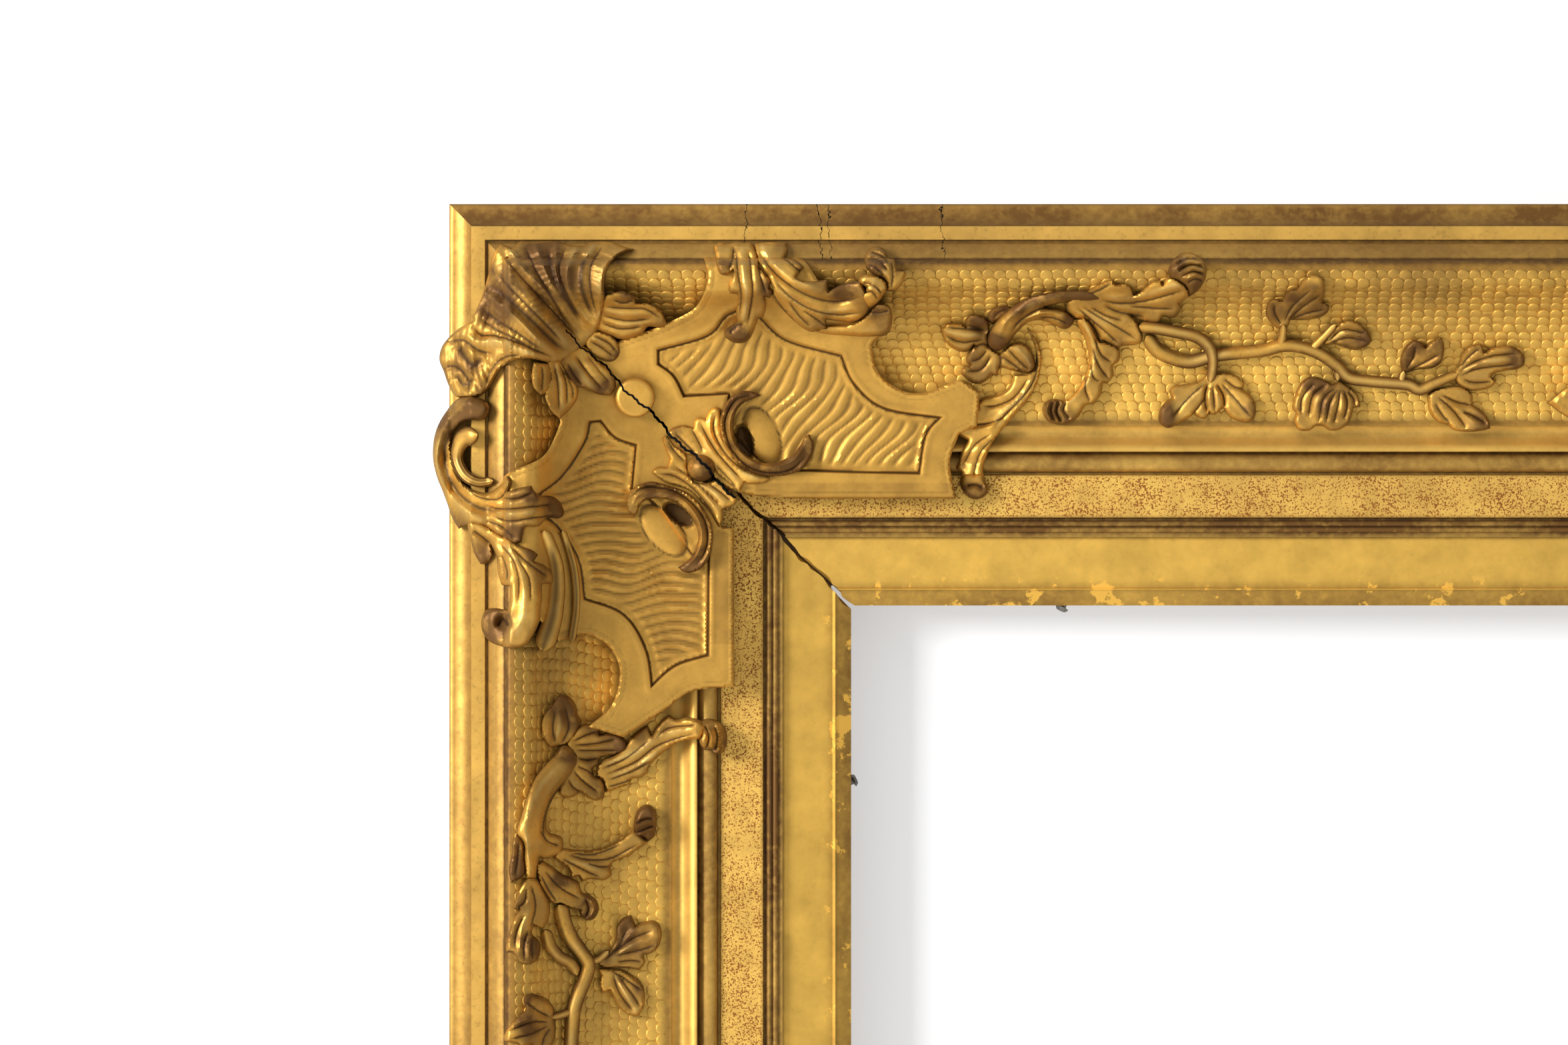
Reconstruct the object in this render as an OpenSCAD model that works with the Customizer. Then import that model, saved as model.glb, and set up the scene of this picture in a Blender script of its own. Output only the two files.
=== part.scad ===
// Large gilded rococo revival picture frame, landscape, with carved corners.
// X runs to the right, Z runs up and the front faces -Y. The origin is the middle of the picture
// opening in the plane of the frame's back, so a height h above the back plane lies at y = -h.

/* [Picture] */
// Width of the picture that the rebate takes
picture_w = 920; // [600:10:2000]
// Height of the picture that the rebate takes
picture_h = 730; // [600:10:2000]
// How far the lip covers the picture's edge
picture_cover = 8; // [5:0.5:12]
// Free space round the picture in the rebate
picture_gap = 2; // [1:0.5:4]

/* [Outer moulding] */
// Width of the round nosing on the outer edge
nosing_w = 1.5; // [1:0.25:2.5]
// Width of the cavetto inside the nosing
cavetto_w = 10; // [7:0.5:13]
// Width of the bright fillet
fillet_w = 7; // [5:0.5:9]
// Width of the quirk inside the fillet
quirk_w = 1.5; // [1:0.25:2.5]
// Width of the sloping band inside the quirk
slope_w = 8; // [6:0.5:12]

/* [Cove] */
// Width of the rolled crest at the top of the cove
crest_w = 6; // [4:0.5:9]
// Width of the hollow from the crest to the inner fillet
hollow_w = 73; // [60:1:90]
// Width of the flat at the foot of the hollow
foot_w = 3; // [2:0.5:6]

/* [Frieze] */
// Width of the ogee
ogee_w = 11.5; // [9:0.5:14]
// Width of the ridge inside the ogee
ridge_w = 1.5; // [1:0.25:2.5]
// Width of each small groove of the frieze
groove_w = 1.5; // [1:0.25:2.5]
// Width of the torus
torus_w = 8.5; // [6:0.5:11]
// Width of the sanded flat
sand_w = 21.5; // [15:0.5:30]
// Width of one bead of the double bead
bead_w = 3; // [2:0.25:4]
// Width of the fillet inside the double bead
bead_fillet_w = 2; // [1:0.25:4]

/* [Slip] */
// Width of the plain flat
flat_w = 25.5; // [20:0.5:40]
// Width of the small ridge at the flat's inner edge
sight_ridge_w = 1.5; // [1:0.25:2.5]
// Width of the worn bevel round the opening
bevel_w = 7.5; // [6.5:0.5:12]

/* [Heights above the back] */
// Thickness of the back frame's boards, which is the depth of the rebate
back_t = 24; // [18:1:30]
// Height of the outer edge
edge_h = 58; // [52:1:64]
// Height of the bright fillet
fillet_h = 70; // [66:1:74]
// Height of the outer moulding at the joint with the cove rail
joint_h = 77; // [75:1:80]
// Rise of the crest over that joint
crest_rise = 8; // [5:0.5:12]
// Height of the foot of the hollow
foot_h = 43; // [39:1:47]
// Height of the torus
torus_h = 41; // [38:1:44]
// Height of the sanded flat
sand_h = 36; // [33:0.5:37]
// Height of the slip's flat at its outer edge
slip_h = 33; // [31:0.5:34]
// Height of the lip at the opening
sight_h = 26.5; // [25.5:0.5:28]
// Depth of the quirk and of the small grooves
groove_d = 2; // [1:0.25:2.5]

/* [Back frame] */
// How far the back frame lies in from the outer edge
back_inset = 3; // [1:0.5:8]
// Length of a butterfly key across the mitre
key_l = 60; // [40:1:80]
// Width of a key at its ends
key_w = 24; // [16:1:36]
// Width of a key at its waist
key_waist = 12; // [8:1:15]
// Depth that a key is let in
key_t = 9; // [6:0.5:12]
// Clearance all round a key
key_gap = 0.1; // [0.05:0.05:0.2]

/* [Retaining screws] */
// Diameter of the shank
hold_d = 3.6; // [3:0.1:4.5]
// Diameter of the domed head
hold_head_d = 7; // [6:0.25:9]
// Height of the head
hold_head_t = 2.2; // [1.5:0.1:3]
// Length of the shank
hold_l = 36; // [25:1:45]
// Height at which the shank leaves the rebate's wall
hold_h = 7.5; // [7:0.25:9]
// Distance of the head beyond the rebate's wall
hold_reach = 12; // [9:0.5:14]
// Angle of the shank along the side in degrees
hold_skew = 25; // [10:1:35]
// Angle of the shank to the back in degrees
hold_tilt = 9; // [5:1:12]
// Distance of each screw from the middle of a stile
stile_hold_z = 263; // [150:1:300]
// Distance of each screw from the middle of a rail
rail_hold_x = 340; // [200:1:400]

/* [Hangers] */
// Drop of the ring's pivot below the top of the frame
hanger_drop = 330; // [200:5:450]
// Width of the strap and length of its barrel
strap_w = 18; // [14:0.5:22]
// Length of the strap below the pivot
strap_l = 30; // [26:0.5:34]
// Thickness of the strap's sheet
strap_t = 1.5; // [1:0.1:2]
// Diameter of the ring's wire
ring_d = 4; // [3:0.1:5]
// Clearance of the ring's bar in the barrel, on the radius
ring_gap = 0.05; // [0.02:0.01:0.08]
// Clearance between the strap's side and the ring's leg
leg_gap = 3; // [2:0.5:5]
// Clearance between the strap's end and the ring's bow
bow_gap = 4; // [3:0.5:8]
// Diameter of the strap's screws
strap_screw_d = 3.2; // [2.5:0.1:4]
// Diameter of the strap screws' heads
strap_head_d = 6.4; // [5:0.1:8]
// Height of the strap screws' heads
strap_head_t = 1.4; // [1:0.1:2]
// Length of the strap's screws below the strap
strap_screw_l = 16; // [12:0.5:17]
// Distance of the first screw from the pivot
strap_screw_1 = 10; // [9:0.5:12]
// Distance between the two screws
strap_screw_step = 13; // [9:0.5:14]
// Clearance of the screws in their holes, on the radius
screw_gap = 0.1; // [0.05:0.01:0.2]

/* [Ornament] */
// Thickness of the cartouche over the hollow
cartouche_t = 6; // [4:0.5:9]
// Height of the cartouche's border above its waved field
border_rise = 3; // [1:0.1:4]
// How deep the ornament reaches down the frame's outer side
overhang_d = 18; // [12:1:26]
// How far each stroke is sunk before it is cut to the moulding
sink = 3; // [2:0.5:6]

/* [Hidden] */

// Distances from the outer edge at which the bands of the moulding begin
u_fillet = nosing_w + cavetto_w;
u_quirk = u_fillet + fillet_w;
u_slope = u_quirk + quirk_w;
u_crest = u_slope + slope_w;
u_hollow = u_crest + crest_w;
u_foot = u_hollow + hollow_w;
u_ogee = u_foot + foot_w;
u_ridge = u_ogee + ogee_w;
u_torus = u_ridge + ridge_w + groove_w;
u_sand = u_torus + torus_w + groove_w;
u_bead = u_sand + sand_w + groove_w;
u_slip = u_bead + 2 * bead_w + bead_fillet_w;
u_sight_ridge = u_slip + flat_w;
u_bevel = u_sight_ridge + sight_ridge_w;
rail_w = u_bevel + bevel_w;

sight_w = picture_w - 2 * picture_cover;
sight_hgt = picture_h - 2 * picture_cover;
frame_w = sight_w + 2 * rail_w;
frame_h = sight_hgt + 2 * rail_w;
u_rebate = rail_w - picture_cover - picture_gap;

// One overrun serves every cut
over = back_t;
crest_h = joint_h + crest_rise;
front_h = crest_h + 2 * over;

// A hollow quarter round from point a to point b in n steps
function quarter(a, b, n) = [for (i = [1:n])
    let (t = 90 * i / n) [a[0] + (b[0] - a[0]) * sin(t), a[1] + (b[1] - a[1]) * (1 - cos(t))]];

// A half round bead from point a to the point w beyond it at the same height, in n steps
function bead(a, w, n) = [for (i = [1:n])
    let (t = 180 * i / n) [a[0] + w / 2 * (1 - cos(t)), a[1] + w / 2 * sin(t)]];

// The shape of the hollow as shares of its width and of its fall
hollow_share = [
    [0, 0], [0.09, 0.1], [0.16, 0.26], [0.24, 0.43], [0.34, 0.59], [0.48, 0.76], [0.7, 0.92], [1, 1]
];
hollow = [for (s = hollow_share) [u_hollow + s[0] * hollow_w, crest_h - s[1] * (crest_h - foot_h)]];
hollow_bed = [for (i = [0, 1, 3, 5, 6, 7]) hollow[i]];

// The nosing's shoulder, and the break in the sloping band, as shares of their widths
nosing_share = [0.33, 0.67];
slope_share = [0.6, 0.2];
slope_break = [u_slope + slope_share[0] * slope_w, joint_h - slope_share[1] * slope_w];
slope_foot = [u_slope, fillet_h + quirk_w / 2];

cavetto = quarter([nosing_w, edge_h + nosing_w], [u_fillet, fillet_h - nosing_w], 4);
outer_line = concat(
    [[0, edge_h], [nosing_share[0] * nosing_w, edge_h + nosing_share[1] * nosing_w]],
    [[nosing_w, edge_h + nosing_w]],
    cavetto,
    [[u_fillet, fillet_h], [u_quirk, fillet_h], [u_quirk, fillet_h - groove_d]],
    [[u_slope, fillet_h - groove_d], slope_foot, slope_break, [u_crest, joint_h]]);
cove_line = concat(
    [[u_crest, joint_h], [u_crest + quirk_w, crest_h - quirk_w], [u_crest + crest_w / 2, crest_h]],
    hollow, [[u_ogee, foot_h]]);
torus_foot = [u_torus, torus_h - torus_w / 2];
frieze_line = concat(
    [[u_ogee, foot_h - groove_d], [u_ogee + ogee_w / 3, foot_h - 2 * groove_d]],
    [[u_ogee + ogee_w * 2 / 3, foot_h - groove_d], [u_ridge, foot_h + groove_d / 2]],
    [[u_ridge + ridge_w, foot_h + groove_d / 2], [u_ridge + ridge_w, torus_foot[1] - groove_d], torus_foot],
    bead(torus_foot, torus_w, 4),
    [[u_torus + torus_w, sand_h - groove_d], [u_sand, sand_h - groove_d], [u_sand, sand_h]],
    [[u_sand + sand_w, sand_h], [u_sand + sand_w, sand_h - groove_d], [u_bead, sand_h - groove_d]],
    [[u_bead, sand_h]],
    bead([u_bead, sand_h], bead_w, 4),
    bead([u_bead + bead_w, sand_h], bead_w, 4),
    [[u_slip, sand_h]]);
// The slip's flat falls towards the opening by a share of its width
slip_fall_share = 0.15;
slip_foot_h = slip_h - slip_fall_share * flat_w;
slip_line = [
    [u_slip, slip_h], [u_sight_ridge, slip_foot_h],
    [u_sight_ridge + sight_ridge_w / 2, slip_foot_h + sight_ridge_w],
    [u_bevel, slip_foot_h + sight_ridge_w / 2], [rail_w, sight_h]];

// The bed on which carved pieces lie: it follows the broad faces and bridges the narrow grooves
outer_bed = [
    [0, edge_h + nosing_w], [nosing_w, edge_h + nosing_w], [u_fillet, fillet_h],
    slope_foot, slope_break, [u_crest, joint_h],
    [u_crest + quirk_w, crest_h - quirk_w], [u_crest + crest_w / 2, crest_h]
];
frieze_bed = [
    [u_ridge, foot_h + groove_d / 2], [u_ridge + ridge_w, foot_h + groove_d / 2],
    [u_torus + torus_w / 2, torus_h], [u_sand, torus_h], [u_sand, sand_h], [rail_w, sand_h]
];
bed_line = concat(outer_bed, hollow_bed, frieze_bed);

// The same beyond the edge too, for ornament that reaches down the frame's outer side
side_line = [[-rail_w, edge_h - overhang_d], [-nosing_w, edge_h - overhang_d], [-nosing_w, edge_h]];
base_line = concat(side_line, bed_line);

// The upper surface of the corner cartouche, as a line over the moulding, with its thickness in shares
cartouche_share = [0.5, 1.1, 1.25, 1.4, 1.4, 1];
cartouche_line = [
    [u_crest, crest_h + cartouche_share[0] * cartouche_t],
    [u_hollow, crest_h + cartouche_share[0] * cartouche_t],
    for (i = [1:3]) hollow_bed[i] + [cartouche_t / 2, cartouche_share[i] * cartouche_t],
    [u_foot, foot_h + cartouche_share[4] * cartouche_t],
    [u_sand + sand_w, foot_h + cartouche_share[5] * cartouche_t]];

// Height at distance u on a line of points, with each jump taken at its upper end
function height_at(line, u) = u >= line[len(line) - 1][0] ? line[len(line) - 1][1] :
    max([for (i = [0:len(line) - 2]) let (a = line[i], b = line[i + 1])
        if (a[0] <= u && u <= b[0]) a[0] == b[0] ? max(a[1], b[1]) :
            a[1] + (b[1] - a[1]) * (u - a[0]) / (b[0] - a[0])]);

// The photographed corner: its place, and the moulding's width, in the picture's pixels
corner_px = [677, 309];
rail_px = 600;
mm_px = rail_w / rail_px;
function px_u(p) = (p[0] - corner_px[0]) * mm_px;
function px_v(p) = (p[1] - corner_px[1]) * mm_px;
function px_x(p) = px_u(p) - frame_w / 2;
function px_z(p) = frame_h / 2 - px_v(p);
function px_depth(p) = min(px_u(p), px_v(p));

// The middle of the top side in the picture's pixels, and how far it lies from the frame's own
middle_px = 2633;
middle_shift = frame_w / 2 - (middle_px - corner_px[0]) * mm_px;

// Sections of a stroke as shares of its half width and of its rise, between its two feet
tube_share = [[-0.9, 0.55], [-0.1, 1], [0.9, 0.5]];
ridge_share = [[0, 1]];

// Surface that a stroke lies on: the bare moulding, or the cartouche over it
function skin_at(p, raised) = let (u = px_depth(p), g = height_at(base_line, u))
    raised && u >= u_crest && u <= u_sand + sand_w ? max(g, height_at(cartouche_line, u) + border_rise) : g;

// Direction square to a stroke at its point i
function side_of(s, i) = let (a = s[max(i - 1, 0)], b = s[min(i + 1, len(s) - 1)],
    d = [b[0] - a[0], b[1] - a[1]]) [-d[1], d[0]] / norm(d);

// Closed ring of a stroke at its point i: the section's points, then its two feet
function ring_points(s, i, share, raised) = let (p = s[i], n = side_of(s, i), w = p[2], r = p[3] * mm_px,
    sides = [for (k = [-1, 0, 1]) [p[0] + k * w * n[0], p[1] + k * w * n[1]]],
    drop = raised ? sink : 0,
    top = [for (c = share) let (q = [p[0] + c[0] * w * n[0], p[1] + c[0] * w * n[1]])
        [px_x(q), -skin_at(q, raised) - c[1] * r, px_z(q)]],
    feet = [for (k = [2, 0]) let (q = sides[k]) [px_x(q), drop - height_at(base_line, px_depth(q)), px_z(q)]])
    concat(top, feet);

// A stroke that crosses the crest of the moulding gets one more point there
crest_u = u_crest + crest_w / 2;
function crested(s) = [for (i = [0:len(s) - 1]) each let (a = s[i], b = s[min(i + 1, len(s) - 1)],
    da = px_depth(a) - crest_u, db = px_depth(b) - crest_u)
    da * db < 0 ? [a, a + (b - a) * da / (da - db)] : [a]];

// One stroke of ornament through points [x, y, half width, rise], all in the picture's pixels
module stroke(points_px, share, raised) {
    s = crested(points_px);
    m = len(share) + 2;
    faces = concat([[for (k = [0:m - 1]) k], [for (k = [m - 1:-1:0]) m + k]],
        [for (k = [0:m - 1]) [k, m + k, m + (k + 1) % m, (k + 1) % m]]);
    for (i = [0:len(s) - 2]) {
        a = ring_points(s, i, share, raised);
        b = ring_points(s, i + 1, share, raised);
        hull() polyhedron(points = concat(a, b), faces = faces);
    }
}

module tubes(list, raised) {
    for (s = list) stroke(s, tube_share, raised);
}

module leaves(list, raised) {
    for (s = list) stroke(s, ridge_share, raised);
}

// Shell: ribs that fan out from the root on the mitre, and the lobes below the root
shell_rib_px = [
    [[888, 510, 11, 20], [936, 384, 28, 12]],
    [[884, 512, 11, 26], [872, 374, 24, 18]],
    [[878, 518, 11, 20], [812, 382, 28, 11]],
    [[874, 524, 11, 26], [762, 382, 22, 18]],
    [[868, 528, 11, 20], [740, 422, 26, 11]],
    [[860, 534, 11, 26], [718, 464, 24, 16]],
    [[842, 542, 12, 20], [776, 530, 26, 20], [700, 540, 36, 16], [694, 586, 26, 10]]
];
shell_lobe_px = [
    [[884, 514, 16, 18], [944, 480, 27, 20], [1002, 492, 8, 8]],
    [[882, 522, 14, 20], [928, 542, 15, 14]],
    [[866, 532, 18, 22], [912, 582, 24, 18]],
    [[854, 540, 16, 18], [856, 590, 26, 18], [849, 628, 8, 8]]
];

// Crescents, the leaves under the ball on the mitre, and the ball
crescent_px = [
    [[1139, 600, 7, 12], [1096, 626, 14, 22], [1102, 684, 15, 24], [1160, 706, 15, 22],
     [1213, 658, 7, 10]],
    [[946, 768, 7, 10], [980, 734, 14, 22], [1042, 756, 15, 24], [1060, 814, 15, 22],
     [1022, 853, 7, 10]]
];
rosette_px = [
    [[1042, 690, 18, 16], [1004, 650, 17, 12]],
    [[1056, 684, 17, 16], [1072, 630, 15, 12]],
    [[1036, 704, 17, 16], [986, 708, 13, 10]],
    [[1062, 712, 20, 16], [1114, 756, 20, 12]]
];
ball_px = [1052, 702, 21, 30];

// Side scroll: two tubes with a hollow between them, and the leaves that grow from them
side_tube_px = [
    [[728, 617, 14, 30], [696, 604, 15, 30], [662, 634, 15, 30], [659, 700, 15, 30],
     [682, 756, 15, 30], [742, 822, 13, 24]],
    [[718, 655, 13, 26], [694, 672, 9, 22], [706, 716, 9, 22], [745, 722, 8, 18]]
];
side_leaf_px = [
    [[684, 706, 21, 14], [768, 756, 36, 22], [847, 768, 12, 16]],
    [[740, 772, 20, 18], [788, 810, 14, 14]],
    [[672, 752, 18, 16], [694, 791, 9, 8]],
    [[708, 800, 12, 16], [731, 840, 15, 18]],
    [[732, 808, 22, 20], [780, 862, 32, 26], [780, 928, 27, 26], [740, 934, 24, 24]],
    [[776, 836, 21, 18], [832, 870, 12, 14]]
];

// Crest leaf on the top of the corner
crest_px = [
    [[1108, 378, 24, 20], [1106, 440, 22, 22], [1108, 507, 15, 22]],
    [[1078, 378, 15, 18], [1085, 412, 10, 14]],
    [[1132, 396, 14, 18], [1148, 446, 11, 14]],
    [[1128, 378, 18, 20], [1180, 432, 27, 22], [1240, 462, 27, 24], [1296, 452, 20, 26], [1316, 392, 18, 24]],
    [[1164, 436, 18, 18], [1228, 490, 14, 12]],
    [[1162, 392, 14, 18], [1202, 416, 12, 12]]
];
crest_strap_px = [[[1216, 474, 9, 14], [1270, 488, 14, 18], [1332, 481, 15, 20]]];

// Outlines of the corner cartouche, its border and its two waved fields
cartouche_px = [
    [880, 540], [1000, 489], [1046, 464], [1063, 426], [1058, 395], [1046, 373], [1180, 378],
    [1240, 440], [1322, 470], [1322, 500], [1306, 520], [1314, 556], [1340, 581], [1380, 591],
    [1440, 570], [1468, 590], [1464, 640], [1437, 652], [1424, 694], [1433, 748],
    [1136, 744], [1052, 702], [1075, 780], [1101, 793], [1101, 1029], [1040, 1036],
    [1003, 1060], [936, 1104], [885, 1088], [920, 1055], [931, 1004], [914, 968],
    [880, 950], [843, 960], [808, 915], [800, 860], [760, 800], [752, 722],
    [774, 708], [820, 686], [843, 640], [846, 620]
];
field_right_px = [
    [986, 526], [1061, 504], [1092, 474], [1130, 470], [1179, 510], [1263, 534], [1282, 575], [1326, 611],
    [1413, 626], [1390, 655], [1380, 713], [1223, 709], [1150, 700], [1085, 640], [1092, 594], [1025, 598],
    [1009, 567], [986, 549]
];
field_left_px = [
    [885, 632], [904, 630], [926, 655], [958, 667], [952, 732], [990, 760], [1040, 830],
    [1066, 800], [1065, 984], [1015, 1000], [977, 1032], [967, 974], [935, 923],
    [877, 899], [868, 840], [839, 793], [812, 770], [812, 741], [846, 712], [877, 663]
];
// Trumpet shaped straps on the cartouche's outer side, and its low disc on the mitre
trumpet_px = [
    [[822, 796, 9, 10], [838, 850, 13, 14], [836, 912, 15, 16], [820, 972, 19, 16]],
    [[846, 798, 5, 10], [861, 852, 6, 12], [866, 905, 6, 12], [861, 960, 6, 10]]
];
disc_px = [954, 598, 29, 22];

// Spray along the top side: flower, tubes, acanthus and vine
rail_tube_px = [
    [[1491, 514, 15, 34], [1516, 480, 15, 36], [1570, 458, 14, 32], [1644, 453, 14, 26]],
    [[1530, 487, 10, 20], [1602, 482, 10, 20]]
];
rail_vine_px = [
    [[1652, 464, 11, 20], [1764, 536, 9, 20], [1922, 519, 10, 20], [1970, 528, 10, 20],
     [2036, 571, 9, 20], [2172, 566, 9, 18]],
    [[1722, 502, 9, 16], [1800, 500, 9, 20], [1814, 562, 9, 16]]
];
rail_leaf_px = [
    [[1492, 512, 14, 20], [1450, 498, 22, 16]],
    [[1504, 522, 16, 20], [1540, 546, 28, 16]],
    [[1550, 506, 10, 14], [1560, 566, 16, 20], [1504, 642, 30, 24], [1464, 726, 26, 24]],
    [[1630, 468, 15, 20], [1643, 548, 26, 22], [1590, 616, 23, 24]],
    [[1636, 455, 23, 24], [1712, 434, 36, 24], [1774, 396, 28, 34]],
    [[1916, 508, 12, 18], [1926, 472, 30, 22], [1958, 428, 16, 26]],
    [[1974, 516, 12, 16], [2048, 504, 21, 20]],
    [[1813, 560, 15, 16], [1754, 626, 28, 16]],
    [[1820, 560, 15, 16], [1872, 620, 25, 16]],
    [[2006, 556, 23, 20], [1984, 636, 46, 20]],
    [[2140, 584, 15, 16], [2210, 630, 31, 14]],
    [[2164, 562, 20, 18], [2268, 536, 28, 22]]
];

// Spray down the side, which the photograph shows to pixel row 1568 and symmetry completes
stile_tube_px = [
    [[852, 1126, 17, 36], [818, 1174, 17, 36], [800, 1236, 16, 32], [812, 1330, 16, 24]]
];
stile_vine_px = [
    [[838, 1356, 10, 18], [880, 1446, 10, 20], [850, 1620, 9, 20], [876, 1704, 9, 20],
     [856, 1780, 9, 18]]
];
stile_leaf_px = [
    [[852, 1112, 16, 20], [840, 1056, 25, 16]],
    [[860, 1112, 16, 20], [934, 1116, 21, 16]],
    [[820, 1256, 21, 22], [890, 1276, 33, 20], [968, 1230, 25, 26]],
    [[824, 1316, 23, 22], [884, 1356, 25, 22]],
    [[812, 1332, 21, 22], [806, 1420, 26, 22]],
    [[866, 1152, 20, 18], [960, 1134, 36, 20], [1040, 1092, 28, 28], [1074, 1108, 23, 30]],
    [[884, 1446, 12, 16], [940, 1386, 25, 18]],
    [[888, 1452, 12, 14], [954, 1508, 28, 14]],
    [[858, 1516, 12, 16], [798, 1490, 25, 18]],
    [[862, 1662, 12, 16], [934, 1610, 28, 16]],
    [[864, 1742, 12, 16], [792, 1746, 28, 16]],
    [[858, 1770, 15, 18], [850, 1850, 28, 18]]
];

// Cartouche in the middle of the top side: one half of its strap, its shell and its scroll
centre_px = [
    [2318, 605], [2350, 580], [2402, 556], [2440, 512], [2478, 452], [2540, 412], [2600, 392],
    [2660, 388], [2660, 752], [2560, 744], [2490, 700], [2420, 656], [2356, 630]
];
centre_field_px = [
    [2420, 604], [2460, 560], [2500, 490], [2560, 446], [2660, 424], [2660, 716], [2576, 704], [2500, 664]
];
centre_tube_px = [
    [[2516, 560, 13, 24], [2466, 546, 13, 24], [2446, 612, 13, 24], [2498, 645, 12, 22]]
];
centre_rib_px = [
    [[2624, 652, 8, 22], [2620, 520, 18, 24], [2618, 376, 22, 18]],
    [[2622, 654, 8, 20], [2586, 540, 17, 20], [2556, 408, 22, 14]],
    [[2616, 658, 8, 22], [2508, 458, 20, 18]]
];

// Bar of moulding along the top side, with the cross section that a list of [u, height] gives
module top_bar(section) {
    translate([0, 0, frame_h / 2]) rotate([0, 90, 0])
        linear_extrude(height = frame_w, center = true) polygon([for (p = section) [p[0], -p[1]]]);
}

// The same along the left side
module left_bar(section) {
    translate([-frame_w / 2, 0, 0])
        linear_extrude(height = frame_h, center = true) polygon([for (p = section) [p[0], -p[1]]]);
}

// Prism on an outline of [x, z], from depth over behind the back to the front of everything
module prism(outline) {
    rotate([90, 0, 0]) translate([0, 0, -over]) linear_extrude(height = front_h) polygon(outline);
}

// The part of the frame's face that belongs to the top side, up to both mitres
module top_field() {
    prism([[-frame_w / 2, frame_h / 2], [frame_w / 2, frame_h / 2],
        [frame_w / 2 - rail_w, frame_h / 2 - rail_w], [rail_w - frame_w / 2, frame_h / 2 - rail_w]]);
}

module left_field() {
    prism([[-frame_w / 2, frame_h / 2], [rail_w - frame_w / 2, frame_h / 2 - rail_w],
        [rail_w - frame_w / 2, rail_w - frame_h / 2], [-frame_w / 2, -frame_h / 2]]);
}

module top_side(section) {
    intersection() {
        top_bar(section);
        top_field();
    }
}

module left_side(section) {
    intersection() {
        left_bar(section);
        left_field();
    }
}

// A section whose upper line is given, standing on the height foot
function standing(line, foot) = concat([[line[0][0], foot]], line, [[line[len(line) - 1][0], foot]]);

back_section = [[back_inset, 0], [back_inset, back_t], [u_rebate, back_t], [u_rebate, 0]];
outer_section = standing(outer_line, back_t);
// The cove rail is hollowed behind, as a board planted on a slope
cove_back_share = [[0.5, 0], [0.12, 0.6], [0, 0.6]];
cove_section = concat(cove_line, [[u_ogee, back_t]],
    [for (s = cove_back_share) [u_crest + s[0] * hollow_w, back_t + s[1] * (joint_h - back_t)]]);
frieze_section = standing(frieze_line, back_t);
slip_section = standing(slip_line, back_t);

// Butterfly outline of a key, square to the mitre, grown by g on every side
module key_shape(g) {
    polygon([[-key_l / 2 - g, key_w / 2 + g], [0, key_waist / 2 + g], [key_l / 2 + g, key_w / 2 + g],
        [key_l / 2 + g, -key_w / 2 - g], [0, -key_waist / 2 - g], [-key_l / 2 - g, -key_w / 2 - g]]);
}

// The key of the top left corner, centred on the mitre of the back frame
module corner_key(g, extra) {
    mid = (back_inset + u_rebate) / 2;
    translate([mid - frame_w / 2, extra, frame_h / 2 - mid]) rotate([90, 0, 0]) rotate([0, 0, 45])
        linear_extrude(height = key_t + g + extra) key_shape(g);
}

// The four places to which the top left corner is mirrored
module at_corner(right, bottom) {
    mirror([right ? 1 : 0, 0, 0]) mirror([0, 0, bottom ? 1 : 0]) children();
}

module all_corners() {
    for (right = [false, true], bottom = [false, true]) at_corner(right, bottom) children();
}

// A retaining screw in the left stile, with its head over the opening; r is the shank's radius
module stile_screw_place() {
    translate([u_rebate - frame_w / 2, -hold_h, stile_hold_z]) rotate([0, 0, hold_tilt])
        rotate([0, 90 - hold_skew, 0]) children();
}

module rail_screw_place() {
    translate([-rail_hold_x, -hold_h, frame_h / 2 - u_rebate]) rotate([-hold_tilt, 0, 0])
        rotate([0, 180 + hold_skew, 0]) children();
}

module shank(r, extra) {
    translate([0, 0, hold_reach - hold_l - extra]) cylinder(h = hold_l + extra, r = r, $fn = 32);
}

module retaining_screw() {
    rotate_extrude($fn = 32) polygon([[0, hold_reach - hold_l], [hold_d / 2, hold_reach - hold_l],
        [hold_d / 2, hold_reach], [hold_head_d / 2, hold_reach + hold_head_t / 3],
        [hold_head_d / 3, hold_reach + hold_head_t], [0, hold_reach + hold_head_t]]);
}

// Places of the hanger's two screws on the left stile, at the back plane
barrel_r = ring_d / 2 + ring_gap + strap_t;
hanger_x = (back_inset + u_rebate) / 2 - frame_w / 2;
hanger_z = frame_h / 2 - hanger_drop;

module strap_screw_places() {
    for (i = [0, 1])
        translate([hanger_x, 0, hanger_z - strap_screw_1 - i * strap_screw_step]) rotate([-90, 0, 0])
            children();
}

module wood_back() { color([0.45, 0.32, 0.2]) children(); }

module back_frame_side_top() {
    wood_back() difference() {
        top_side(back_section);
        for (right = [false, true]) at_corner(right, false) {
            corner_key(key_gap, over);
            rail_screw_place() shank(hold_d / 2 + screw_gap, screw_gap);
        }
    }
}

module back_frame_side_left() {
    wood_back() difference() {
        left_side(back_section);
        for (bottom = [false, true]) at_corner(false, bottom) {
            corner_key(key_gap, over);
            stile_screw_place() shank(hold_d / 2 + screw_gap, screw_gap);
        }
        strap_screw_places() translate([0, 0, -strap_screw_l - screw_gap])
            cylinder(h = strap_screw_l + over, r = strap_screw_d / 2 + screw_gap, $fn = 32);
    }
}

gilt = [0.83, 0.63, 0.26];
gilt_dark = [0.55, 0.38, 0.18];

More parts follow.
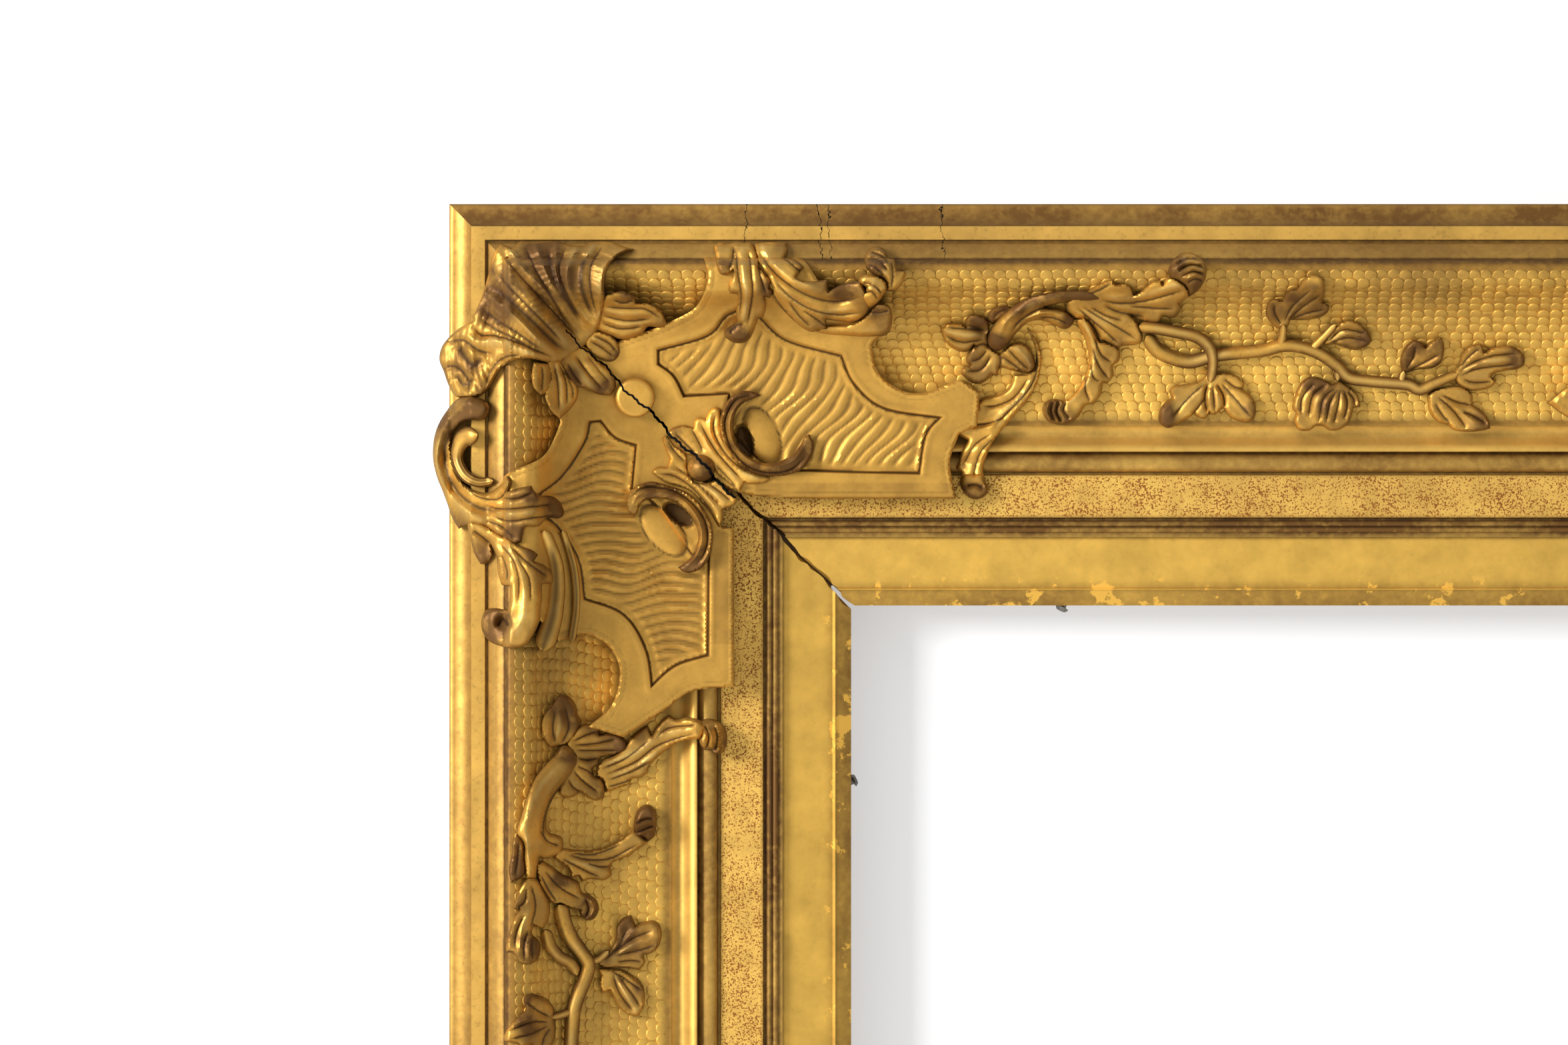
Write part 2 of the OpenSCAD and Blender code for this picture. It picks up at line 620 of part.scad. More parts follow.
module outer_moulding_side_top() { color(gilt) top_side(outer_section); }
module outer_moulding_side_left() { color(gilt) left_side(outer_section); }
module cove_side_top() { color(gilt * 0.9) top_side(cove_section); }
module cove_side_left() { color(gilt * 0.9) left_side(cove_section); }
module frieze_side_top() { color(gilt * 0.95) top_side(frieze_section); }
module frieze_side_left() { color(gilt * 0.95) left_side(frieze_section); }
module slip_side_top() { color(gilt * 1.05) top_side(slip_section); }
module slip_side_left() { color(gilt * 1.05) left_side(slip_section); }

// Two bars of one cross section that meet at the top left mitre
module bent_block(section) {
    top_side(section);
    left_side(section);
}

// The bed of the corner, to which carved pieces are cut
module bed_block() {
    bent_block(standing(bed_line, -over));
}

// The same block without the lower hollow, where a spray's feet need no cut
module rim_block() {
    bent_block(standing(concat(outer_bed, [hollow_bed[0], hollow_bed[1], hollow_bed[2]],
        [[hollow_bed[2][0], back_t], [u_ogee, back_t], [u_ogee, foot_h]], frieze_bed), -over));
}

// The same block up to the face of the cartouche raised by rise, over the cartouche's own bands
module cartouche_block(rise) {
    line = [for (p = cartouche_line) [p[0], p[1] + rise]];
    bent_block(standing(concat([[0, line[0][1]]], line, [[rail_w, line[len(line) - 1][1]]]), -over));
}

function px_outline(list) = [for (p = list) [px_x(p), px_z(p)]];

// Low round boss on the cartouche at a place [x, y, radius, rise] in pixels, flat on top
module round_boss(p, dome) {
    r = p[2] * mm_px;
    top = skin_at(p, true);
    translate([px_x(p), -back_t, px_z(p)]) rotate([90, 0, 0]) union() {
        cylinder(h = top - back_t + p[3] * mm_px / (dome ? 2 : 1), r = r, $fn = dome ? 8 : 16);
        if (dome) translate([0, 0, top - back_t + p[3] * mm_px / 2])
            scale([1, 1, p[3] * mm_px / 2 / r]) sphere(r = r, $fn = 8);
    }
}

// Strapwork cartouche: a raised border round two sunk fields, with trumpet straps and a disc
module cartouche_mass() {
    difference() {
        union() {
            intersection() {
                prism(px_outline(cartouche_px));
                cartouche_block(border_rise);
            }
            tubes(trumpet_px, true);
            round_boss(disc_px, false);
        }
        difference() {
            union() {
                prism(px_outline(field_right_px));
                prism(px_outline(field_left_px));
            }
            cartouche_block(0);
        }
    }
}

// Cuts a carved piece to the moulding and the cartouche on which it lies
module seated() {
    difference() {
        children();
        bed_block();
        cartouche_mass();
    }
}

// Cuts a spray, whose strokes stand with both feet on the hollow, at the crest and the cartouche
module planted() {
    difference() {
        children();
        rim_block();
        cartouche_mass();
    }
}

module shell_strokes() {
    leaves(shell_rib_px, true);
    leaves(shell_lobe_px, true);
}

module cartouche() {
    color(gilt) difference() {
        cartouche_mass();
        bed_block();
    }
}

module shell() {
    color(gilt_dark) seated() shell_strokes();
}

module crescents() {
    color(gilt_dark) seated() {
        leaves(crescent_px, true);
        leaves(rosette_px, true);
        round_boss(ball_px, true);
    }
}

module side_scroll() {
    color(gilt_dark * 1.1) difference() {
        seated() {
            leaves(side_tube_px, false);
            leaves(side_leaf_px, true);
        }
        shell_strokes();
    }
}

module crest_leaf() {
    color(gilt_dark * 1.1) seated() {
        leaves(crest_px, true);
        tubes(crest_strap_px, true);
    }
}

module rail_spray() {
    color(gilt_dark * 1.2) planted() {
        leaves(rail_tube_px, false);
        leaves(rail_vine_px, false);
        leaves(rail_leaf_px, false);
    }
}

module stile_spray() {
    color(gilt_dark * 1.2) planted() {
        leaves(stile_tube_px, false);
        leaves(stile_vine_px, false);
        leaves(stile_leaf_px, false);
    }
}

// Keeps what lies left of the frame's middle
module left_half() {
    intersection() {
        children();
        prism([[-frame_w, frame_h], [0, frame_h], [0, 0], [-frame_w, 0]]);
    }
}

// Places what is drawn round the middle of the photographed side at the frame's own middle
module from_middle() {
    translate([middle_shift, 0, 0]) children();
}

module centre_half() {
    difference() {
        left_half() {
            union() {
                difference() {
                    intersection() {
                        from_middle() prism(px_outline(centre_px));
                        cartouche_block(border_rise);
                    }
                    difference() {
                        from_middle() prism(px_outline(centre_field_px));
                        cartouche_block(0);
                    }
                }
                from_middle() {
                    tubes(centre_tube_px, true);
                    leaves(centre_rib_px, true);
                }
            }
        }
        bed_block();
    }
}

module centre_cartouche() {
    color(gilt_dark * 1.2) {
        centre_half();
        mirror([1, 0, 0]) centre_half();
    }
}

module mitre_keys() {
    color([0.6, 0.45, 0.28]) all_corners() corner_key(0, 0);
}

module retaining_screws() {
    color([0.5, 0.47, 0.42]) all_corners() {
        stile_screw_place() retaining_screw();
        rail_screw_place() retaining_screw();
    }
}

// Brass strap with a barrel for the ring's bar, screwed to the back of the left stile
module strap() {
    color([0.72, 0.6, 0.32]) difference() {
        translate([hanger_x, 0, hanger_z]) {
            translate([-strap_w / 2, barrel_r, 0]) rotate([0, 90, 0])
                cylinder(h = strap_w, r = barrel_r, $fn = 48);
            translate([-strap_w / 2, 0, -strap_l + strap_w / 2])
                cube([strap_w, strap_t, strap_l - strap_w / 2]);
            translate([0, strap_t, -strap_l + strap_w / 2]) rotate([90, 0, 0])
                cylinder(h = strap_t, r = strap_w / 2, $fn = 48);
        }
        translate([hanger_x - strap_w, barrel_r, hanger_z]) rotate([0, 90, 0])
            cylinder(h = 2 * strap_w, r = ring_d / 2 + ring_gap, $fn = 48);
        strap_screw_places() cylinder(h = over, r = strap_screw_d / 2 + screw_gap, $fn = 32);
    }
}

// D-ring that hangs from the strap's barrel, straight bar on top and bow below
module d_ring() {
    half = strap_w / 2 + leg_gap + ring_d / 2;
    leg = max(strap_l + bow_gap + ring_d / 2 - half, strap_l / 3);
    color([0.7, 0.58, 0.3]) translate([hanger_x, barrel_r, hanger_z]) {
        rotate([0, 90, 0]) cylinder(h = 2 * half, d = ring_d, center = true, $fn = 32);
        for (s = [-1, 1]) translate([s * half, 0, 0]) {
            sphere(d = ring_d, $fn = 32);
            translate([0, 0, -leg]) cylinder(h = leg, d = ring_d, $fn = 32);
        }
        translate([0, 0, -leg]) rotate([-90, 0, 0])
            rotate_extrude(angle = 180, $fn = 64) translate([half, 0]) circle(d = ring_d, $fn = 32);
    }
}

module strap_screw() {
    rotate_extrude($fn = 32) polygon([[0, -strap_screw_l], [strap_screw_d / 2, -strap_screw_l],
        [strap_screw_d / 2, strap_t], [strap_head_d / 2, strap_t],
        [strap_head_d / 3, strap_t + strap_head_t], [0, strap_t + strap_head_t]]);
}

module strap_screws() {
    color([0.66, 0.56, 0.33]) for (right = [false, true]) at_corner(right, false)
        strap_screw_places() strap_screw();
}

back_frame_side_top();  // back_frame_top
mirror([0, 0, 1]) back_frame_side_top();  // back_frame_bottom
back_frame_side_left();  // back_frame_left
mirror([1, 0, 0]) back_frame_side_left();  // back_frame_right
outer_moulding_side_top();  // outer_moulding_top
mirror([0, 0, 1]) outer_moulding_side_top();  // outer_moulding_bottom
outer_moulding_side_left();  // outer_moulding_left
mirror([1, 0, 0]) outer_moulding_side_left();  // outer_moulding_right
cove_side_top();  // cove_rail_top
mirror([0, 0, 1]) cove_side_top();  // cove_rail_bottom
cove_side_left();  // cove_rail_left
mirror([1, 0, 0]) cove_side_left();  // cove_rail_right
frieze_side_top();  // frieze_rail_top
mirror([0, 0, 1]) frieze_side_top();  // frieze_rail_bottom
frieze_side_left();  // frieze_rail_left
mirror([1, 0, 0]) frieze_side_left();  // frieze_rail_right
slip_side_top();  // slip_top
mirror([0, 0, 1]) slip_side_top();  // slip_bottom
slip_side_left();  // slip_left
mirror([1, 0, 0]) slip_side_left();  // slip_right
mitre_keys();
retaining_screws();
at_corner(false, false) shell();  // shell_top_left
at_corner(true, false) shell();  // shell_top_right
at_corner(false, true) shell();  // shell_bottom_left
at_corner(true, true) shell();  // shell_bottom_right
at_corner(false, false) crescents();  // crescents_top_left
at_corner(true, false) crescents();  // crescents_top_right
at_corner(false, true) crescents();  // crescents_bottom_left
at_corner(true, true) crescents();  // crescents_bottom_right
at_corner(false, false) side_scroll();  // side_scroll_top_left
at_corner(true, false) side_scroll();  // side_scroll_top_right
at_corner(false, true) side_scroll();  // side_scroll_bottom_left
at_corner(true, true) side_scroll();  // side_scroll_bottom_right
at_corner(false, false) crest_leaf();  // crest_leaf_top_left
at_corner(true, false) crest_leaf();  // crest_leaf_top_right
at_corner(false, true) crest_leaf();  // crest_leaf_bottom_left
at_corner(true, true) crest_leaf();  // crest_leaf_bottom_right
at_corner(false, false) cartouche();  // cartouche_top_left
at_corner(true, false) cartouche();  // cartouche_top_right
at_corner(false, true) cartouche();  // cartouche_bottom_left
at_corner(true, true) cartouche();  // cartouche_bottom_right
at_corner(false, false) rail_spray();  // rail_spray_top_left
at_corner(true, false) rail_spray();  // rail_spray_top_right
at_corner(false, true) rail_spray();  // rail_spray_bottom_left
at_corner(true, true) rail_spray();  // rail_spray_bottom_right
at_corner(false, false) stile_spray();  // stile_spray_top_left
at_corner(true, false) stile_spray();  // stile_spray_top_right
at_corner(false, true) stile_spray();  // stile_spray_bottom_left
at_corner(true, true) stile_spray();  // stile_spray_bottom_right
centre_cartouche();  // centre_cartouche_top
mirror([0, 0, 1]) centre_cartouche();  // centre_cartouche_bottom
strap();  // strap_left
mirror([1, 0, 0]) strap();  // strap_right
d_ring();  // d_ring_left
mirror([1, 0, 0]) d_ring();  // d_ring_right
strap_screws();
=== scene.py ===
import math

import bpy
import numpy as np
from mathutils import Matrix, Vector, geometry


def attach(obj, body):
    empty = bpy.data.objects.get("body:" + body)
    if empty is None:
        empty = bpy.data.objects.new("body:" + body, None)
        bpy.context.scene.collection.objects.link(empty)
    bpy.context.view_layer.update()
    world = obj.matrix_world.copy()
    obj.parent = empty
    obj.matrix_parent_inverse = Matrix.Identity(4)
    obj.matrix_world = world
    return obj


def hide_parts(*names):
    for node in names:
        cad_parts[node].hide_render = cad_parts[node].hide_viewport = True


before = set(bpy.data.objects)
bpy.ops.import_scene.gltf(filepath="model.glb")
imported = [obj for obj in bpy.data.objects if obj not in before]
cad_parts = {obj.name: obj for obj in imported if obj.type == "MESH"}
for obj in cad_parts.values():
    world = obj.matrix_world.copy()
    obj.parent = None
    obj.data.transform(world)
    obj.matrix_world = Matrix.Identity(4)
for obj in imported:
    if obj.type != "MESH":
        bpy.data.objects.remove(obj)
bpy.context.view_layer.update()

# ---------------------------------------------------------------- sizes, in mm
FRAME_W = 1304.0
FRAME_H = 1114.0
BACK_T = 24.0
MM_PX = 1 / 3
CORNER_PX = np.array([677.0, 309.0])
# Distances from the outer edge: of the crest, the foot of the hollow and the end of the sanded flat
U_CREST, U_FOOT, U_SAND_END = 28.0, 107.0, 156.0
BORDER_RISE = 3.0
# How far a carved piece reaches into the ground it stands on
SUNK = 0.6
# The open joint in picture pixels, its run in mm, and the directions along it and to its side
CRACK_FROM, CRACK_TO = np.array([870.0, 515.0]), np.array([1277.0, 918.0])
CRACK_RUN = (CRACK_TO - CRACK_FROM) * MM_PX
CRACK_LONG = float(np.hypot(*CRACK_RUN))
CRACK_WAY = CRACK_RUN / CRACK_LONG
CRACK_SIDE = np.array([-CRACK_WAY[1], CRACK_WAY[0]])
# Its waves: height in mm, rate and start; and its half width at the start and how much that grows each mm
CRACK_WAVES = ((0.8, 0.19, 1.2), (0.42, 0.61, 0.0), (0.2, 1.9, 2.0))
CRACK_HALF, CRACK_GROWS = 0.42, 0.0045

# Section lines: distance from the outer edge and height over the wall
HOLLOW = [[34, 85], [40.57, 80.8], [45.68, 74.08], [51.52, 66.94], [58.82, 60.22],
          [69.04, 53.08], [85.1, 46.36], [107, 43]]
SIDE = [[-12, 50], [-3, 57], [0, 59.2]]
OUTER_BED = [[1.5, 59.5], [11.5, 70], [20, 70.75], [24.8, 75.4], [28, 77], [29.5, 83.5], [31, 85]]
INNER_BED = [[110, 43], [121.5, 44], [123, 44], [128.75, 41], [134.5, 41], [134.6, 36], [200, 36]]
PLATE = [[34, 88], [43.57, 87.4], [54.52, 74.44], [72.04, 61.48], [107, 51.4], [156, 49]]
SCALE_PITCH, SCALE_ROW = 5.7, 4.5
SCALE_SIDES = 9
TOP_MOST = 99.4
WALL_Y, FLOOR_Z = 0.0088, -0.5575
# Enlarged parts of the photograph in which places were read: left, top, enlargement
VIEWS = {"shell": (640, 340, 3.92), "scroll": (640, 560, 3.92), "crest": (1040, 340, 3.92),
         "flower": (1400, 380, 3.92), "vine": (1700, 380, 3.92), "end": (1960, 400, 4.0),
         "stile": (760, 1040, 3.92), "foot": (740, 1240, 4.78), "heart": (900, 560, 3.92),
         "photo": (0, 0, 1)}


def curve(a, b, c, d, step):
    """Rows from b up to c on the smooth line through a, b, c and d, about a step apart."""
    n = max(1, int(round(np.hypot(*(c - b)[:2]) / step)))
    t = (np.arange(n) / n)[:, None]
    return 0.5 * (2 * b + (c - a) * t + (2 * a - 5 * b + 4 * c - d) * t ** 2
                  + (3 * b - a - 3 * c + d) * t ** 3)


def spline(rows, step):
    """A smooth line through rows of numbers, with a point about every step of the first two."""
    p = np.array(rows, float)
    q = np.vstack([2 * p[0] - p[1], p, 2 * p[-1] - p[-2]])
    return np.vstack([curve(*q[i:i + 4], step) for i in range(len(p) - 1)] + [p[-1:]])


FINE_HOLLOW = spline(HOLLOW, 2.2)
BED = np.vstack([SIDE, OUTER_BED, FINE_HOLLOW, INNER_BED])
PLATE_LINE = spline(PLATE, 3.0)


def depth(p):
    """Distance from the frame's outer edge, in mm, of places [x, y] in picture pixels."""
    return np.min((p[..., :2] - CORNER_PX) * MM_PX, axis=-1)


def bed_height(p):
    """Face of the mouldings at places [x, y]."""
    return np.interp(depth(p), BED[:, 0], BED[:, 1])


def plate_height(p):
    """Face of the strapwork plate that covers the corner, falling off beyond its own bands."""
    u = depth(p)
    h = np.interp(u, PLATE_LINE[:, 0], PLATE_LINE[:, 1]) + BORDER_RISE
    ramp = np.clip((u - U_CREST) / 4, 0, 1) * np.clip((U_SAND_END + 6 - u) / 6, 0, 1)
    b = bed_height(p)
    return b + np.maximum(h - b, 0) * ramp


def wobble(p, size, seed=0.0):
    """Slow unevenness between -1 and 1 over places [x, y]."""
    x, y = p[..., 0] / size, p[..., 1] / size
    return (np.sin(x * 1.31 + 2.1 * np.sin(y * 0.77 + seed) + seed)
            + np.sin(y * 1.73 + 1.7 * np.sin(x * 0.91 - seed) + 1.3 * seed)) / 2


def crack_line(s):
    """Sideways place and half width, in mm, of the open joint at s mm from its start."""
    off = sum(high * np.sin(rate * s + start) for high, rate, start in CRACK_WAVES)
    half = CRACK_HALF + CRACK_GROWS * s + 0.1 * np.sin(1.3 * s)
    return off, half


def to_metres(p):
    """Places [x, y, height], two in pixels and the height in mm, as metres in the shared frame."""
    x = (p[:, 0] - CORNER_PX[0]) * MM_PX - FRAME_W / 2
    z = FRAME_H / 2 - (p[:, 1] - CORNER_PX[1]) * MM_PX
    return np.column_stack([x, -p[:, 2], z]) / 1000


def volume_sign(v, faces):
    """Six times the volume inside closed faces, below zero where they face inward."""
    total = 0.0
    for size in {len(f) for f in faces}:
        f = np.array([g for g in faces if len(g) == size])
        for i in range(1, size - 1):
            total += np.einsum("ij,ij->", v[f[:, 0]], np.cross(v[f[:, i]], v[f[:, i + 1]]))
    return total


def set_marks(mesh, marks):
    """Keeps three marks of every corner point in the attribute carve."""
    layer = mesh.attributes.new("carve", "FLOAT_COLOR", "POINT")
    rgba = np.ones((len(marks), 4), np.float32)
    rgba[:, :3] = marks
    layer.data.foreach_set("color", rgba.ravel())


def mesh_object(name, verts, faces, marks=None, sharp=40.0):
    mesh = bpy.data.meshes.new(name)
    mesh.from_pydata([tuple(v) for v in verts], [], [tuple(f) for f in faces])
    if marks is not None:
        set_marks(mesh, marks)
    mesh.polygons.foreach_set("use_smooth", [True] * len(mesh.polygons))
    mesh.set_sharp_from_angle(angle=math.radians(sharp))
    mesh.update()
    obj = bpy.data.objects.new(name, mesh)
    bpy.context.scene.collection.objects.link(obj)
    return obj


class Carving:
    """Closed pieces of relief gathered into one sub-part of the top left corner."""

    def __init__(self):
        self.places, self.marks, self.faces, self.count = [], [], [], 0

    def add(self, places, faces, marks):
        v = to_metres(places)
        if volume_sign(v - v.mean(axis=0), faces) < 0:
            faces = [f[::-1] for f in faces]
        self.faces += [[i + self.count for i in f] for f in faces]
        self.places.append(places)
        self.marks.append(marks)
        self.count += len(places)

    def loft(self, rings, marks):
        """Closed rings of places joined one to the next, with a face on each end."""
        n, m = rings.shape[:2]
        faces = [[i * m + j, i * m + (j + 1) % m, (i + 1) * m + (j + 1) % m, (i + 1) * m + j]
                 for i in range(n - 1) for j in range(m)]
        faces += [list(range(m))[::-1], [(n - 1) * m + j for j in range(m)]]
        self.add(rings.reshape(-1, 3), faces, marks.reshape(-1, 3))

    def build(self, node, material, slot, corners):
        v = to_metres(np.vstack(self.places))
        marks = np.vstack(self.marks)
        for suffix, sx, sz in corners:
            name = node + suffix
            faces = self.faces if sx * sz > 0 else [f[::-1] for f in self.faces]
            obj = mesh_object("carved_" + name, v * [sx, 1, sz], faces, marks)
            obj.data.materials.append(material)
            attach(obj, "frame")
            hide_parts(name)


CORNERS = [("_top_left", 1, 1), ("_top_right", -1, 1), ("_bottom_left", 1, -1),
           ("_bottom_right", -1, -1)]


def frames_along(line):
    """Unit side directions along a line of [x, y], turned a quarter from its run."""
    d = np.gradient(line[:, :2], axis=0)
    d /= np.maximum(np.hypot(d[:, 0], d[:, 1]), 1e-6)[:, None]
    return np.column_stack([-d[:, 1], d[:, 0]])


PETAL_ACROSS = np.array([-1, -0.93, -0.72, -0.45, -0.2, 0, 0.2, 0.45, 0.72, 0.93, 1])


def skin(base, raised):
    """Height of the ground: the corner plate's face, or the mouldings'."""
    return plate_height(base) if raised else bed_height(base)


def footed(base, ground, h):
    """Rings of places at the heights h, each closed by a foot inside the ground."""
    ends = base[:, [-1, 0], :]
    foot = np.minimum(bed_height(ends), ground[:, [-1, 0]]) - SUNK
    return np.concatenate([np.dstack([base, h]), np.dstack([ends, foot])], axis=1)


def petal(carving, start, end, bend, width, rises, raised, cup=0.3, blunt=0.5):
    """One lobe of a leaf from start to end, hollowed along its middle; bend bows it to its left."""
    start, end = np.array(start[:2], float), np.array(end[:2], float)
    run = end - start
    length = max(np.hypot(*run), 1.0)
    left = np.array([-run[1], run[0]]) / length
    n = max(6, int(length / 4.5))
    q = np.linspace(0, 1, n)
    mid = start + run * q[:, None] + left * (bend * np.sin(math.pi * q))[:, None]
    side = frames_along(mid)
    swell = 0.5 + 0.5 * np.sin(math.pi * np.clip(q / 1.25, 0, 1))
    end_round = np.sqrt(np.clip(1 - np.clip((q - 1 + blunt) / blunt, 0, 1) ** 2.2, 0.02, 1))
    w = width * swell * end_round
    rise = (rises[0] + (rises[1] - rises[0]) * q) * MM_PX * (0.55 + 0.45 * end_round)
    t = PETAL_ACROSS
    arch = (1 - np.abs(t) ** 3) ** 0.5
    hollow = 1 - cup * np.exp(-(t / 0.34) ** 2)
    base = mid[:, None, :] + side[:, None, :] * (t[None, :] * w[:, None])[:, :, None]
    ground = skin(base, raised)
    h = ground + rise[:, None] * (arch * hollow)[None, :]
    rings = footed(base, ground, h)
    m = rings.shape[1]
    # Marks: a high lift along the arch, brighter gold that is partly worn gilding and partly painted
    # highlight; painted shade in the middle hollow and at the foot
    marks = np.zeros((n, m, 3))
    marks[:, :len(t), 0] = arch[None, :]
    marks[:, :len(t), 1] = np.exp(-(t / 0.22) ** 2)[None, :] * cup * 2
    marks[:, len(t):, 1] = 1
    marks[:, :, 2] = q[:, None]
    carving.loft(rings, marks)


def leaf(carving, points, raised=True):
    """An acanthus leaf along points [x, y, half width, rise]: a ribbed spine with lobes in pairs."""
    line = spline(np.reshape(points, (-1, 4)), 3.0)
    run = np.append(0, np.cumsum(np.hypot(*np.diff(line[:, :2], axis=0).T)))
    side = frames_along(line)
    length = run[-1]

    def at(q, k=0.0):
        """The place at share q of the leaf's run, k half widths to its side."""
        row = [np.interp(q * length, run, line[:, c]) for c in range(4)]
        s = [np.interp(q * length, run, side[:, c]) for c in range(2)]
        return np.array([row[0] + s[0] * k * row[2], row[1] + s[1] * k * row[2], row[2], row[3]])

    broad = float(np.mean(line[:, 2]))
    if length < broad * 2.7:
        a, b = at(0.0), at(1.0)
        for turn, far in ((-0.5, 0.86), (0.5, 0.86), (0.0, 1.0)):
            d = (b - a)[:2] * far
            c, z = math.cos(turn), math.sin(turn)
            end = a[:2] + [d[0] * c - d[1] * z, d[0] * z + d[1] * c]
            petal(carving, a, end, -turn * 0.2 * length, b[2] * 0.52,
                  (a[3], b[3] * (1.0 - 0.2 * abs(turn))), raised, 0.34, 0.4)
        return
    pairs = int(np.clip(round(length / (broad * 1.5)), 2, 5))
    reach_q = min(0.5, 0.9 / pairs + 0.12)
    for i in range(pairs):
        q0 = 0.02 + (0.93 - reach_q) * i / max(1, pairs - 1)
        q1 = q0 + reach_q
        for turn in (-1, 1):
            a, b = at(q0, 0.15 * turn), at(q1, turn * (0.86 if i < pairs - 1 else 0.6))
            reach = np.hypot(*(b - a)[:2])
            petal(carving, a, b, turn * -0.17 * reach, max(b[2] * 0.4, reach * 0.2),
                  (a[3] * 0.9, b[3] * 0.68), raised, 0.3, 0.34)
    a, b = at(0.55), at(1.0)
    petal(carving, a, b, 0, max(b[2] * 0.62, 6.0), (a[3], b[3] * 0.9), raised, 0.3, 0.34)
    n = max(6, int(length / 5))
    spine = np.array([at(q) for q in np.linspace(0, 0.86, n)])
    spine[:, 2] = np.maximum(spine[:, 2] * 0.16, 2.5) * np.linspace(1.3, 0.5, n)
    spine[:, 3] = spine[:, 3] * 1.04
    strip(carving, spine, raised)


def strip(carving, line, raised):
    """A rounded rib along rows [x, y, half width, rise]."""
    side = frames_along(line)
    t = np.linspace(-1, 1, 7)
    arch = np.sqrt(1 - np.abs(t) ** 2.2)
    base = line[:, None, :2] + side[:, None, :] * (t[None, :] * line[:, 2:3])[:, :, None]
    ground = skin(base, raised)
    h = ground + line[:, 3:4] * MM_PX * (0.62 + 0.38 * arch)[None, :]
    rings = footed(base, ground, h)
    # Marks: the rib's crown gets a high lift, brighter gold that is partly worn gilding and partly painted
    # highlight; painted shade at its foot
    marks = np.zeros((len(line), rings.shape[1], 3))
    marks[:, :len(t), 0] = 0.5 + 0.5 * arch[None, :]
    marks[:, len(t):, 1] = 1
    marks[:, :, 2] = 0.5
    carving.loft(rings, marks)


def tube(carving, points, raised=False, flutes=5, bulb=1.25):
    """A standing half round tube along points [x, y, half width, rise] with a bulb at its head."""
    line = spline(np.reshape(points, (-1, 4)), 4.0)
    n = len(line)
    run = np.append(0, np.cumsum(np.hypot(*np.diff(line[:, :2], axis=0).T)))
    side = frames_along(line)
    head = line[0, 2] * bulb
    a = np.radians(np.linspace(-20, 200, 19))
    rings, marks = [], []
    for i in range(n):
        swell = math.exp(-((run[i] - head) / head) ** 2) * (bulb - 1)
        end = math.sqrt(max(0.04, 1 - (1 - min(1, run[i] / head)) ** 2))
        tail = math.sqrt(max(0.04, 1 - (1 - min(1, (run[-1] - run[i]) / (line[i, 2] * 1.2))) ** 2))
        w = line[i, 2] * (1 + swell) * end * tail
        groove = 0.09 * (0.5 + 0.5 * np.cos(a * flutes * 2)) * np.clip((run[i] - 2 * head) / 20, 0, 1)
        groove = groove * (flutes > 0)
        r = w * (1 - groove)
        base = line[i, :2] + side[i] * (np.cos(a) * r)[:, None]
        ground = skin(line[i:i + 1, :2], raised)[0]
        mid = ground + max(line[i, 3] * MM_PX - w * MM_PX, 0.5)
        h = mid + np.sin(a) * r * MM_PX
        foot = bed_height(base[[-1, 0]]) - SUNK
        foot = np.minimum(foot, h[[-1, 0]] - SUNK / 2)
        rings.append(np.vstack([np.column_stack([base, h]), np.column_stack([base[[-1, 0]], foot])]))
        # Painted shade in the flutes and on the low flanks and foot; the top gets a high lift, brighter gold
        # that is partly worn gilding and partly painted highlight; brown grows toward the flanks, partly
        # patina and partly painted shade
        lift = np.append(0.25 + 0.65 * np.clip(np.sin(a), 0, 1), [0, 0])
        crease = np.append(groove * 8 + (np.sin(a) < 0.1) * 0.7, [1, 1])
        brown = 0.25 + 0.6 * np.abs(np.cos(a))
        marks.append(np.column_stack([lift, np.clip(crease, 0, 1), np.append(brown, [1, 1])]))
    carving.loft(np.array(rings), np.array(marks))


def boss(carving, place, round_share=1.0):
    """A round boss [x, y, radius, rise]: a ball, or a low disc when round_share is small."""
    x, y, r, rise = place
    m = 32
    angles = np.linspace(0, 2 * math.pi, m, endpoint=False)
    ground = plate_height(np.array([[x, y]]))[0]
    bottom = np.column_stack([x + r * np.cos(angles), y + r * np.sin(angles)])
    rings = [np.column_stack([bottom, bed_height(bottom) - SUNK])]
    # Painted shade at the foot and round the base of the boss
    marks = [np.tile([0.0, 1.0, 0.2], (m, 1))]
    for a in np.radians([0, 12, 26, 40, 54, 68, 80, 87]):
        rr = r * (1 - round_share * (1 - math.cos(a)))
        up = rise * MM_PX * (1 - round_share + round_share * math.sin(a))
        ring = [x + rr * np.cos(angles), y + rr * np.sin(angles), np.full(m, ground + up)]
        rings.append(np.column_stack(ring))
        marks.append(np.tile([0.3 + 0.4 * math.sin(a), 0.0 if a else 0.6, round_share], (m, 1)))
    carving.loft(np.array(rings), np.array(marks))


